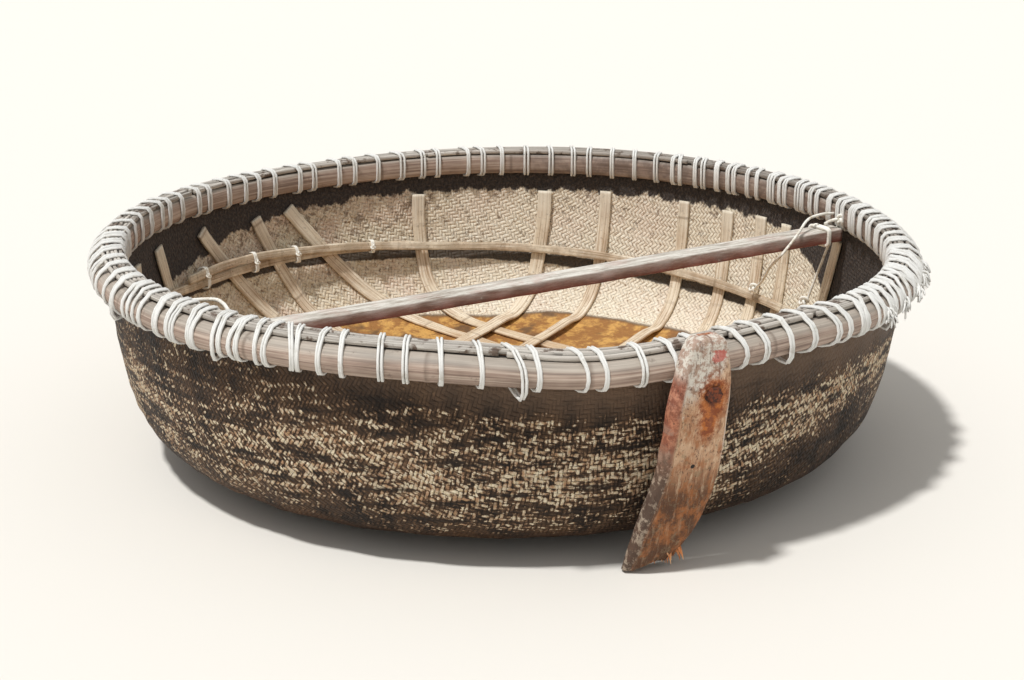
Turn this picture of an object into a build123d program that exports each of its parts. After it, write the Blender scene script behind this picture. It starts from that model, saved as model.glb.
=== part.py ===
"""Round basket boat of woven bamboo: a tarred bowl with a lashed rim, ribs, a wall hoop,
a thwart hung in cord, and a curved board on its stern.

The frame: millimetres, +Z up, the origin on the bowl's axis at the underside of its flat
bottom. The thwart runs along X, and the stern board stands on the -Y side.
"""

import os
from math import acos, asin, atan2, ceil, cos, hypot, radians, sin, sqrt, tan

from build123d import *

# Overall sizes
rim_radius = 900.0
rim_height = 460.0

# Fits between pieces that touch
seat_gap = 0.3
lap_gap = 0.8

# Rim: two split-bamboo hoops hold the basket's edge, and three split rods cap it
outer_hoop_depth = 41.5
outer_hoop_height = 53.0
inner_hoop_depth = 18.0
inner_hoop_height = 50.0
inner_hoop_edge = 7.0
cap_rod_size = 13.0
cap_rod_count = 3
cap_rod_pitch = 15.5
cap_rod_butt_step = 17
cap_rod_butt_gap = 1.0

# Bowl: a flat centre, a shallow dish, a tight bilge and a side that ends upright
wall = 13.0
flat_radius = 260.0
dish_radius = 3360.0
bilge_radius = 170.0
side_radius = 840.0
upright_height = 50.0

# Ribs: laths laid across the bowl in two layers
rib_width = 36.0
rib_thickness = 8.0
rib_seat_gap = 0.8
rib_crossing_gap = 2.5
rib_step = 120.0
knee_past_dish = 22.0
settled_past_dish = 50.0
cross_rib_heading = 111.6
long_rib_heading = 24.6

# Wall hoop: one lath that holds the ribs against the side, its last stretch lapped over its start
wall_hoop_width = 38.0
wall_hoop_thickness = 9.0
wall_hoop_stand = 5.8
wall_hoop_drop = 260.0
wall_hoop_tilt = 3.9
wall_hoop_high_side = 141.0
wall_hoop_start = 75.0
wall_hoop_lap_steps = 7
wall_hoop_rise_steps = 2

# Cord round the wall hoop
hoop_cord = 4.0
hoop_cord_gap = 1.9

# Thwart
thwart_width = 60.0
thwart_right_depth = 40.0
thwart_left_depth = 28.0
thwart_drop = 62.0
thwart_offset = -167.0
thwart_left_gap = 57.0
thwart_right_gap = 1.0
thwart_edge_radius = 3.0

# Thwart's cords
tie_cord = 8.0
tie_gap = 0.6
tie_inset = 40.0
tie_rise = 20.0
tie_drift = 25.0
tie_end_gap = 1.6

# Stern board
board_heading = -98.0
board_thickness = 38.0
board_rise = 24.0
board_middle_gap = 24.0
board_foot_reach = 50.0
board_floor_gap = 5.0
board_top_round = 18.0

# Bolt of the stern board
bolt_diameter = 16.0
bolt_hole_gap = 0.4
bolt_head_width = 26.0
bolt_head_height = 10.0
nut_height = 13.0
bolt_drop = 82.0
bolt_shift = 5.0
bolt_end_past_nut = 4.0
washer_diameter = 36.0
washer_thickness = 3.0
washer_seat_depth = 6.0

# Short reach over which a section's slope is read
face_reach = 1.0

# Straight lengths that stand for each round stretch of a section, and for a lath's whole turn
dish_chords = 1
bilge_chords = 4
side_chords = 1
outer_hoop_chords = 5
inner_hoop_chords = 2
round_steps = 48

# What follows from them
hoop_top = rim_height - cap_rod_size - seat_gap
cap_rod_middle = rim_height - cap_rod_size / 2
wall_radius = rim_radius - outer_hoop_depth - seat_gap
side_end = hoop_top - upright_height
inner_face = wall_radius - wall
rib_inset = wall + rib_seat_gap
long_rib_lift = rib_thickness + rib_crossing_gap

# The bilge circle rests inside the dish circle and the side circle, so its centre
# is where two circles of the differences of their radii meet.
dish_centre = (flat_radius, dish_radius)
side_centre = (wall_radius - side_radius, side_end)
centre_x = side_centre[0] - dish_centre[0]
centre_z = side_centre[1] - dish_centre[1]
centre_distance = hypot(centre_x, centre_z)
to_dish = dish_radius - bilge_radius
to_side = side_radius - bilge_radius
dish_turn = acos((to_dish**2 + centre_distance**2 - to_side**2) / (2 * to_dish * centre_distance))
dish_end_angle = atan2(centre_z, centre_x) + dish_turn
bilge_centre = (
    dish_centre[0] + to_dish * cos(dish_end_angle),
    dish_centre[1] + to_dish * sin(dish_end_angle),
)
side_start_angle = atan2(bilge_centre[1] - side_centre[1], bilge_centre[0] - side_centre[0])
dish_end = dish_centre[0] + dish_radius * cos(dish_end_angle)


def arc_points(centre, radius, start, end, chords):
    """Points that divide an arc, from one angle to another in radians, into equal chords."""
    angles = [start + (end - start) * step / chords for step in range(chords + 1)]
    return [(centre[0] + radius * cos(angle), centre[1] + radius * sin(angle)) for angle in angles]


def bowl_section(inset):
    """Corners of the bowl's section from its axis to its edge, moved inwards by an inset."""
    down = radians(-90)
    dish = arc_points(dish_centre, dish_radius - inset, down, dish_end_angle, dish_chords)
    bilge = arc_points(bilge_centre, bilge_radius - inset, dish_end_angle, side_start_angle, bilge_chords)
    side = arc_points(side_centre, side_radius - inset, side_start_angle, 0.0, side_chords)
    return [(0.0, inset), *dish, *bilge[1:], *side[1:], (wall_radius - inset, hoop_top)]


def section_point(points, value, axis):
    """Point where a section reaches a radius (axis 0) or a height (axis 1)."""
    for near, far in zip(points, points[1:]):
        if near[axis] <= value <= far[axis] and near[axis] < far[axis]:
            share = (value - near[axis]) / (far[axis] - near[axis])
            return (near[0] + share * (far[0] - near[0]), near[1] + share * (far[1] - near[1]))
    raise ValueError(f"the section doesn't reach {value}")


def radius_at(height, inset):
    """Radius of the bowl's section, moved inwards by an inset, at a height."""
    return section_point(bowl_section(inset), height, 1)[0]


def divided(points, longest):
    """Add corners to a section, so that none of its straight lengths is longer than a step."""
    corners = [points[0]]
    for near, far in zip(points, points[1:]):
        pieces = ceil(hypot(far[0] - near[0], far[1] - near[1]) / longest)
        for piece in range(1, pieces + 1):
            share = piece / pieces
            corners.append((near[0] + share * (far[0] - near[0]), near[1] + share * (far[1] - near[1])))
    return corners


def rib_section(inset, lift, stand):
    """Corners of the section that a rib's middle follows, moved inwards by an inset.

    Its low part lies further in by a lift, and its bilge and side by what a stiff lath
    stands off a wall that it crosses at a slant.
    """
    low = bowl_section(inset + lift)
    high = bowl_section(inset + stand)
    turn = section_point(bowl_section(inset + max(lift, stand)), dish_end, 0)
    corners = [*[point for point in low if point[0] < dish_end - knee_past_dish], turn]
    if lift:
        corners.append(section_point(high, dish_end + settled_past_dish, 0))
    return [*corners, *[point for point in high if point[0] > corners[-1][0] + face_reach]]


def ring(corners):
    """Revolve an outline, given by its corners as radius and height, about the bowl's axis."""
    with BuildPart() as body:
        with BuildSketch(Plane.XZ):
            with BuildLine():
                Polyline(*corners, close=True)
            make_face()
        revolve(axis=Axis.Z)
    return body.part


def hoop_section(face_radius, side, depth, edge, height, chords):
    """Corners of the D of a split-bamboo hoop, its flat face at a radius and its top at hoop_top.

    The side is 1 when the hoop's round back is outwards and -1 when it is inwards. The edge
    is the width of the flats above and below, from which the round back stands out.
    """
    bulge = depth - edge
    back_radius = ((height / 2) ** 2 + bulge**2) / (2 * bulge)
    half_turn = asin(height / 2 / back_radius)
    centre = (depth - back_radius, hoop_top - height / 2)
    back = arc_points(centre, back_radius, half_turn, -half_turn, chords)
    corners = [(0.0, hoop_top), *back, (0.0, hoop_top - height)]
    return [(face_radius + side * reach, z) for reach, z in corners]


# Where the stern board stands: outwards at its heading, and to the right along the side
board_out = Vector(cos(radians(board_heading)), sin(radians(board_heading)), 0)
board_right = Vector(-sin(radians(board_heading)), cos(radians(board_heading)), 0)
bolt_height = rim_height - bolt_drop
bolt_plane = Plane(origin=board_right * bolt_shift + Vector(0, 0, bolt_height), z_dir=board_out)
bolt_hole = bolt_diameter + 2 * bolt_hole_gap

# Hull shell: the woven and tarred bowl, with the board's bolt hole through its side
bowl = ring([*bowl_section(0.0), *reversed(bowl_section(wall))])
with BuildPart() as hull_shell:
    add(bowl)
    with BuildSketch(bolt_plane):
        Circle(bolt_hole / 2)
    extrude(amount=rim_radius, mode=Mode.SUBTRACT)
hull_shell.part.label = "hull_shell"

# Rim hoops: split bamboo inside and outside the basket's edge, the outer one half round
outer_hoop_edge = outer_hoop_depth - outer_hoop_height / 2
rim_outer_hoop = ring(
    hoop_section(
        wall_radius + seat_gap, 1, outer_hoop_depth, outer_hoop_edge, outer_hoop_height, outer_hoop_chords
    )
)
rim_outer_hoop.label = "rim_outer_hoop"

inner_hoop_face = inner_face - seat_gap
rim_inner_hoop = ring(
    hoop_section(
        inner_hoop_face, -1, inner_hoop_depth, inner_hoop_edge, inner_hoop_height, inner_hoop_chords
    )
)
rim_inner_hoop.label = "rim_inner_hoop"


def lath(path, width, thickness):
    """Loft a lath's section along a path of places, each with the direction that its face looks."""
    with BuildPart() as body:
        for step, (place, facing) in enumerate(path):
            before = path[max(step - 1, 0)][0]
            after = path[min(step + 1, len(path) - 1)][0]
            along = (after - before).normalized()
            with BuildSketch(Plane(origin=place, x_dir=facing.cross(along), z_dir=along)):
                Rectangle(width, thickness)
        loft(ruled=True)
    return body.part


# Cap rods: square split rods laid round on the basket's edge, side by side, the ends of each
# butted at a heading of its own
first_rod_radius = wall_radius - wall / 2 - cap_rod_pitch * (cap_rod_count - 1) / 2
with BuildPart() as rim_cap_rods:
    for rod in range(cap_rod_count):
        rod_radius = first_rod_radius + rod * cap_rod_pitch
        butt = 360 * cap_rod_butt_step * rod / round_steps
        rod_path = []
        for step in range(round_steps + 1):
            turn = radians(butt + 360 * step / round_steps)
            if step == round_steps:
                turn -= cap_rod_butt_gap / rod_radius
            outward = Vector(cos(turn), sin(turn), 0)
            rod_path.append((outward * rod_radius + Vector(0, 0, cap_rod_middle), outward * -1))
        add(lath(rod_path, cap_rod_size, cap_rod_size))
rim_cap_rods.part.label = "rim_cap_rods"

# Ribs: each is a lath whose rectangular section is carried along the inside of the bowl. In
# plan its middle runs straight across the bottom, and at each end it may lean to one side.
# Columns: name, offset to the left of its heading, lean to the left in degrees at the end
# it heads for and at the end behind, stand off the bilge and side, drop of its tips below
# the rim's top
cross_ribs = (
    ("cross_rib_1", -482.0, -5.0, 0.0, 2.2, 110.0),
    ("cross_rib_2", -396.0, 35.0, 5.0, 2.4, 104.0),
    ("cross_rib_3", -200.0, 22.0, 8.0, 1.0, 112.0),
    ("cross_rib_4", -110.0, 36.0, 4.0, 1.6, 108.0),
    ("cross_rib_5", 215.0, 15.0, -6.0, 0.6, 105.0),
    ("cross_rib_6", 420.0, 0.0, -6.0, 1.8, 110.0),
)
long_ribs = (
    ("long_rib_1", 378.0, 0.0, 0.0, 1.2, 110.0),
    ("long_rib_2", 228.0, 0.0, 0.0, 0.6, 104.0),
    ("long_rib_3", 12.0, 0.0, 0.0, 0.0, 108.0),
    ("long_rib_4", -118.0, 0.0, 0.0, 0.2, 112.0),
    ("long_rib_5", -222.0, 0.0, 0.0, 0.4, 107.0),
    ("long_rib_6", -305.0, 0.0, 0.0, 0.8, 110.0),
    ("long_rib_7", -420.0, -12.0, 0.0, 1.6, 98.0),
)


def inward_at(section, radius, outward):
    """Direction square to a section, into the bowl, where its radius lies in an outward direction."""
    below = section_point(section, radius - face_reach, 0)
    above = section_point(section, radius + face_reach, 0)
    return (outward * (below[1] - above[1]) + Vector(0, 0, above[0] - below[0])).normalized()


def rib_path(heading, lift, offset, lean_ahead, lean_behind, stand, tip):
    """Places along a rib, from the tip behind to the tip ahead, and the way its face looks."""
    along = Vector(cos(radians(heading)), sin(radians(heading)), 0)
    left = Vector(-sin(radians(heading)), cos(radians(heading)), 0)
    section = rib_section(rib_inset + rib_thickness / 2, lift, stand)
    knee_height = section_point(section, dish_end + knee_past_dish, 0)[1]
    corners = [point for point in section if point[1] < tip] + [section_point(section, tip, 1)]
    corners = divided(corners, rib_step)
    sides = []
    for end, lean in ((-1.0, lean_behind), (1.0, lean_ahead)):
        side = []
        for radius, height in corners:
            shift = offset + tan(radians(lean)) * max(height - knee_height, 0.0)
            if radius > abs(shift) + rib_width / 2:
                side.append((end * sqrt(radius**2 - shift**2), shift, height))
        sides.append(side)
    behind, ahead = sides
    turns = [*reversed(behind), *ahead]
    stations = [turns[0]]
    for near, far in zip(turns, turns[1:]):
        pieces = ceil(abs(far[0] - near[0]) / rib_step)
        for piece in range(1, pieces):
            reach = near[0] + (far[0] - near[0]) * piece / pieces
            stations.append((reach, offset, section_point(section, hypot(reach, offset), 0)[1]))
        stations.append(far)
    path = []
    for reach, shift, height in stations:
        place = along * reach + left * shift
        radius = place.length
        path.append((place + Vector(0, 0, height), inward_at(section, radius, place / radius)))
    return path


rib_parts = []
rib_sets = (
    (cross_ribs, cross_rib_heading, 0.0),
    (long_ribs, long_rib_heading, long_rib_lift),
)
for ribs, heading, lift in rib_sets:
    for name, offset, lean_ahead, lean_behind, stand, drop in ribs:
        path = rib_path(heading, lift, offset, lean_ahead, lean_behind, stand, rim_height - drop)
        rib = lath(path, rib_width, rib_thickness)
        rib.label = name
        rib_parts.append(rib)

# Wall hoop: a lath round the inside, bearing on the ribs, lower on one side. Before its last
# stretch it steps inwards by its own thickness, and lies over its start.
wall_hoop_height = rim_height - wall_hoop_drop
wall_hoop_inset = rib_inset + rib_thickness + wall_hoop_stand


def hoop_place(heading, inset):
    """Place of the wall hoop's middle at a heading, and the way its face looks."""
    turn = radians(heading - wall_hoop_high_side)
    mean_radius = radius_at(wall_hoop_height, inset)
    height = wall_hoop_height + mean_radius * cos(turn) * tan(radians(wall_hoop_tilt))
    section = bowl_section(inset)
    radius = section_point(section, height, 1)[0]
    outward = Vector(cos(radians(heading)), sin(radians(heading)), 0)
    return outward * radius + Vector(0, 0, height), inward_at(section, radius, outward)


hoop_path = []
for step in range(round_steps + wall_hoop_lap_steps + 1):
    rise = (step - round_steps) / wall_hoop_rise_steps + 1
    laid_over = min(max(rise, 0.0), 1.0) * (wall_hoop_thickness + lap_gap)
    heading = wall_hoop_start + 360 * step / round_steps
    hoop_path.append(hoop_place(heading, wall_hoop_inset + wall_hoop_thickness / 2 + laid_over))
wall_hoop = lath(hoop_path, wall_hoop_width, wall_hoop_thickness)
wall_hoop.label = "wall_hoop"


def cord_turn(plane, width, height, cord, gap):
    """Sweep a closed turn of cord round a rectangle of a width and a height.

    A six-sided section stands for the cord's round one.
    """
    across = width / 2 + gap + cord / 2
    upwards = height / 2 + gap + cord / 2
    corners = ((0, -upwards), (across, -upwards), (across, upwards), (-across, upwards), (-across, -upwards))
    with BuildPart() as turn:
        with BuildLine(plane) as route:
            Polyline(*corners, close=True)
        with BuildSketch(Plane(origin=route.line @ 0, z_dir=route.line % 0)):
            RegularPolygon(cord / 2, 6)
        sweep(path=route.line, transition=Transition.RIGHT)
    return turn.part


# Ties of the wall hoop: turns of cord round its lap, between the ribs
tie_headings = (84.0, 99.5, 109.0, 122.0)
tied_thickness = 2 * wall_hoop_thickness + lap_gap
hoop_turns = []
for heading in tie_headings:
    place, facing = hoop_place(heading, wall_hoop_inset + tied_thickness / 2)
    around = Vector(-sin(radians(heading)), cos(radians(heading)), 0)
    turn_plane = Plane(origin=place, x_dir=facing, z_dir=around)
    hoop_turns.append(cord_turn(turn_plane, tied_thickness, wall_hoop_width, hoop_cord, hoop_cord_gap))
with BuildPart() as wall_hoop_ties:
    add(hoop_turns)
wall_hoop_ties.part.label = "wall_hoop_ties"

# Thwart: a bar that tapers in depth, its top level, its right end butted under the inner hoop
hoop_inside = inner_hoop_face - inner_hoop_depth
thwart_reach = sqrt(hoop_inside**2 - (abs(thwart_offset) + thwart_width / 2) ** 2)
thwart_left_end = thwart_left_gap - thwart_reach
thwart_right_end = thwart_reach - thwart_right_gap
thwart_top = rim_height - thwart_drop
thwart_plane = Plane(origin=(0, thwart_offset + thwart_width / 2, 0), x_dir=(1, 0, 0), z_dir=(0, -1, 0))
with BuildPart() as thwart:
    with BuildSketch(thwart_plane):
        with BuildLine():
            Polyline(
                (thwart_left_end, thwart_top),
                (thwart_right_end, thwart_top),
                (thwart_right_end, thwart_top - thwart_right_depth),
                (thwart_left_end, thwart_top - thwart_left_depth),
                close=True,
            )
        make_face()
    extrude(amount=thwart_width)
    fillet(thwart.edges().filter_by(Axis.Y), radius=thwart_edge_radius)
thwart.part.label = "thwart"


def thwart_turn(x):
    """One turn of cord round the thwart at a place along X."""
    share = (x - thwart_left_end) / (thwart_right_end - thwart_left_end)
    depth = thwart_left_depth + share * (thwart_right_depth - thwart_left_depth)
    place = Plane(origin=(x, thwart_offset, thwart_top - depth / 2), x_dir=(0, 1, 0), z_dir=(1, 0, 0))
    return cord_turn(place, thwart_width, depth, tie_cord, tie_gap)


# Ties of the thwart: a turn round each end, and a taut run up to the rim's inner hoop
tie_height = thwart_top + tie_gap + tie_cord / 2
tie_ends = (
    ("thwart_tie_left", thwart_left_end + tie_inset, -1.0),
    ("thwart_tie_right", thwart_right_end - tie_inset, 1.0),
)
tie_parts = []
for name, x, side in tie_ends:
    reach = sqrt(hoop_inside**2 - (thwart_offset - tie_drift) ** 2) - tie_end_gap
    start = Vector(x, thwart_offset, tie_height)
    run = Vector(side * reach, thwart_offset - tie_drift, tie_height + tie_rise) - start
    turn = thwart_turn(x)
    with BuildPart() as tie:
        add(turn)
        with BuildSketch(Plane(origin=start, z_dir=run)):
            RegularPolygon(tie_cord / 2, 6)
        extrude(amount=run.length)
    tie.part.label = name
    tie_parts.append(tie.part)

# Stern board: a curved timber that leans on the outer hoop and stands clear of the bilge. Its
# side view is a bent plank, and its front view narrows to the top and is worn away at the foot.
board_side_plane = Plane(origin=(0, 0, 0), x_dir=board_out, z_dir=board_right * -1)
board_front_plane = Plane(origin=(0, 0, 0), x_dir=board_right, z_dir=board_out)
board_top = rim_height + board_rise
board_lean_radius = rim_radius + seat_gap
hoop_bottom = hoop_top - outer_hoop_height
board_middle_height = (board_floor_gap + hoop_bottom) / 2
board_middle_radius = radius_at(board_middle_height, 0.0) + board_middle_gap
board_foot_radius = board_middle_radius - board_foot_reach
nut_reach = bolt_end_past_nut + nut_height + washer_thickness
washer_seat = board_lean_radius + board_thickness - washer_seat_depth
# Columns: height, left edge and right edge, each to the right of the board's heading
board_stations = (
    (0.0, -114.0, -12.0),
    (110.0, -98.0, 26.0),
    (215.0, -75.0, 47.0),
    (rim_height - 90.0, -70.0, 45.0),
    (rim_height - 20.0, -56.0, 40.0),
    (board_top, -36.0, 28.0),
)
with BuildPart() as stern_board:
    with BuildSketch(board_side_plane):
        with BuildLine():
            ThreePointArc(
                (board_foot_radius, board_floor_gap),
                (board_middle_radius, board_middle_height),
                (board_lean_radius, hoop_bottom),
            )
            Polyline(
                (board_lean_radius, hoop_bottom),
                (board_lean_radius, board_top),
                (board_lean_radius + board_thickness, board_top),
                (board_lean_radius + board_thickness, hoop_bottom),
            )
            ThreePointArc(
                (board_lean_radius + board_thickness, hoop_bottom),
                (board_middle_radius + board_thickness, board_middle_height),
                (board_foot_radius + board_thickness, board_floor_gap),
            )
            Line((board_foot_radius + board_thickness, board_floor_gap), (board_foot_radius, board_floor_gap))
        make_face()
    extrude(amount=rim_radius / 2, both=True)
    with BuildSketch(board_front_plane):
        with BuildLine():
            left_edge = Spline(*[(left, height) for height, left, right in board_stations])
            right_edge = Spline(*[(right, height) for height, left, right in board_stations])
            Line(left_edge @ 0, right_edge @ 0)
            Line(left_edge @ 1, right_edge @ 1)
        make_face()
    extrude(amount=2 * rim_radius, mode=Mode.INTERSECT)
    top_edges = stern_board.edges().group_by(Axis.Z)[-1]
    fillet(top_edges.sort_by(lambda edge: edge.center().dot(board_out))[-1], radius=board_top_round)
    with BuildSketch(bolt_plane):
        Circle(bolt_hole / 2)
    extrude(amount=2 * rim_radius, mode=Mode.SUBTRACT)
    with BuildSketch(bolt_plane.offset(washer_seat)):
        Circle(washer_diameter / 2 + seat_gap)
    extrude(amount=rim_radius, mode=Mode.SUBTRACT)
stern_board.part.label = "stern_board"

# Stern board's bolt: a hexagon head and washer sunk in the board, a washer and nut inside
low_face = radius_at(bolt_height - washer_diameter / 2, wall)
nut_washer_face = sqrt(low_face**2 - (bolt_shift + washer_diameter / 2) ** 2) - seat_gap
head_face = washer_seat + seat_gap
with BuildPart() as stern_board_bolt:
    with BuildSketch(bolt_plane.offset(head_face)):
        Circle(washer_diameter / 2)
    extrude(amount=washer_thickness)
    with BuildSketch(bolt_plane.offset(head_face + washer_thickness)):
        RegularPolygon(bolt_head_width / 2, 6, major_radius=False)
    extrude(amount=bolt_head_height)
    with BuildSketch(bolt_plane.offset(nut_washer_face)):
        Circle(washer_diameter / 2)
    extrude(amount=-washer_thickness)
    with BuildSketch(bolt_plane.offset(nut_washer_face - washer_thickness)):
        RegularPolygon(bolt_head_width / 2, 6, major_radius=False)
    extrude(amount=-nut_height)
    with BuildSketch(bolt_plane.offset(nut_washer_face - nut_reach)):
        Circle(bolt_diameter / 2)
    extrude(amount=head_face - nut_washer_face + nut_reach)
stern_board_bolt.part.label = "stern_board_bolt"

os.makedirs("parts", exist_ok=True)
for piece in (
    hull_shell.part,
    rim_outer_hoop,
    rim_inner_hoop,
    rim_cap_rods.part,
    *rib_parts,
    wall_hoop,
    wall_hoop_ties.part,
    thwart.part,
    *tie_parts,
    stern_board.part,
    stern_board_bolt.part,
):
    export_step(piece, f"parts/{piece.label}.step")
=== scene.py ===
"""Round basket boat of woven, tarred bamboo, finished for the render on its CAD frame."""
from math import acos, atan2, cos, pi, radians, sin, tan

import bpy
import numpy as np
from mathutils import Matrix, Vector


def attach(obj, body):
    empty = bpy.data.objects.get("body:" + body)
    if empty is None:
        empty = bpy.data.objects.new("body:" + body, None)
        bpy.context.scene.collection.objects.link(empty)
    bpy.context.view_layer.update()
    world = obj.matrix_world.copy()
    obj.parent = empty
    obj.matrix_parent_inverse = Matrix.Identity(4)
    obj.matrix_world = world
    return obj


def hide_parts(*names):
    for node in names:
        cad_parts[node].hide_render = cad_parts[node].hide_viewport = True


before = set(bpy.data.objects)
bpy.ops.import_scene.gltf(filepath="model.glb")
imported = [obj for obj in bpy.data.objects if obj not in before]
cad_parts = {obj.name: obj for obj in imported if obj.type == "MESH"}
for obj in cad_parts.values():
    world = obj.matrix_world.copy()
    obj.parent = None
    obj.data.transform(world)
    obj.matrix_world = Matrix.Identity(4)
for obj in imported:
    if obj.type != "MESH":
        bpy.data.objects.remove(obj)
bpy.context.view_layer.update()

# Woven bowl. Strips of split bamboo are woven flat into a round mat, which is pressed into a
# pit, trimmed at its edge and tarred inside and out, so that it sets as one stiff skin. Its
# section is a flat centre, a shallow dish, a tight bilge and a side that ends upright between
# the hoops of the rim. Sizes are in metres, and headings in degrees to the left of +X.
rim_height = 0.460
hoop_top = 0.4467
wall = 0.013
wall_radius = 0.8582
flat_radius = 0.260
dish_radius = 3.360
bilge_radius = 0.170
side_radius = 0.840
side_end = 0.3967

# The bilge's middle lies at known distances from those of dish and side, so the cosine rule
# gives the turn at which the dish goes over into it
dish_middle = np.array([flat_radius, dish_radius])
side_middle = np.array([wall_radius - side_radius, side_end])
dish_to_side = side_middle - dish_middle
middles_apart = np.hypot(dish_to_side[0], dish_to_side[1])
dish_to_bilge = dish_radius - bilge_radius
side_to_bilge = side_radius - bilge_radius
dish_end_turn = atan2(dish_to_side[1], dish_to_side[0]) + acos(
    (dish_to_bilge**2 + middles_apart**2 - side_to_bilge**2) / (2 * dish_to_bilge * middles_apart)
)
bilge_middle = dish_middle + dish_to_bilge * np.array([cos(dish_end_turn), sin(dish_end_turn)])
side_start_turn = atan2(bilge_middle[1] - side_middle[1], bilge_middle[0] - side_middle[0])
stretch_ends = np.cumsum([
    flat_radius,
    dish_radius * (dish_end_turn + pi / 2),
    bilge_radius * (side_start_turn - dish_end_turn),
    side_radius * -side_start_turn,
    hoop_top - side_end,
])
skin_length = stretch_ends[4]


def section(length, inset):
    """Radius and height of the bowl's section at distances along it from the axis.

    The way the outer face looks turns evenly along each arc and not at all along a straight.
    The point is the outer face's own, moved against that way by an inset. The third result is
    the angle of that way.
    """
    length = np.asarray(length, float)
    turns = [-pi / 2, -pi / 2, dish_end_turn, side_start_turn, 0.0, 0.0]
    turn = np.interp(length, [0.0, *stretch_ends], turns)
    facing = np.stack([np.cos(turn), np.sin(turn)], -1)
    face = np.stack([length, 0 * length], -1)
    arcs = ((dish_middle, dish_radius), (bilge_middle, bilge_radius), (side_middle, side_radius))
    for start, (middle, radius) in zip(stretch_ends, arcs):
        face = np.where((length > start)[..., None], middle + radius * facing, face)
    upright = np.stack([0 * length + wall_radius, side_end + length - stretch_ends[3]], -1)
    face = np.where((length > stretch_ends[3])[..., None], upright, face)
    return face[..., 0] - inset * facing[..., 0], face[..., 1] - inset * facing[..., 1], turn


def full_turn(count):
    """Even angles round a full turn, in radians."""
    return np.linspace(0, 2 * pi, count, endpoint=False)


def bell(headings, middle, width):
    """Bell curve of 1 at a heading that falls off over a width, round the whole boat."""
    away = (np.asarray(headings) - middle + 180) % 360 - 180
    return np.exp(-((away / width) ** 2))


# Columns: heading of a hump of the rim, how wide it is, how far it rises and how far it reaches out
slack = (
    (-172.0, 38.0, 0.008, -0.006),
    (-132.0, 24.0, 0.009, -0.003),
    (-112.0, 10.0, -0.013, 0.0),
    (-84.0, 12.0, 0.011, 0.0),
    (-40.0, 30.0, -0.006, 0.004),
    (30.0, 40.0, 0.005, -0.004),
    (95.0, 30.0, -0.007, 0.003),
    (140.0, 22.0, 0.006, 0.002),
)


def settled(points):
    """Give points the uneven shape that the boat has taken.

    Each hump is a bell curve over the heading. Their sum raises a point and moves it out, in
    full at the rim and less by the square of the height towards the floor.
    """
    points = np.array(points, float)
    headings = np.degrees(np.arctan2(points[..., 1], points[..., 0]))
    share = np.clip(points[..., 2] / rim_height, 0, 1.1) ** 2
    rise = sum(lift * bell(headings, middle, width) for middle, width, lift, _ in slack)
    reach = sum(out * bell(headings, middle, width) for middle, width, _, out in slack)
    radius = np.hypot(points[..., 0], points[..., 1]) + 1e-9
    points[..., :2] *= (1 + reach * share / radius)[..., None]
    points[..., 2] += rise * share
    return points


def round_boat(radius, heading, height):
    """Points at radii, headings in radians and heights round the boat's axis."""
    return np.stack([radius * np.cos(heading), radius * np.sin(heading), height + 0 * radius], -1)


def uneven(first, second, size, seed, waves=10):
    """Smooth unevenness between about -1 and 1 over two distances: a quarter of a sum of plane
    waves, each with a direction, a length near the size and a start drawn by lot."""
    lot = np.random.default_rng(seed)
    total = 0.0
    for _ in range(waves):
        way = lot.uniform(0, 2 * pi)
        length = size * lot.uniform(0.7, 1.6)
        start = lot.uniform(0, 2 * pi)
        total = total + np.sin(2 * pi * (first * np.cos(way) + second * np.sin(way)) / length + start)
    return total / 4


def distances(points, axis):
    """Distances along rows or columns of points from the first to each next, and on to the first."""
    steps = np.linalg.norm(np.diff(points, axis=axis, append=np.take(points, [0], axis)), axis=-1)
    return np.pad(np.cumsum(steps.mean(3 - axis), 1), ((0, 0), (1, 0)))


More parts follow.
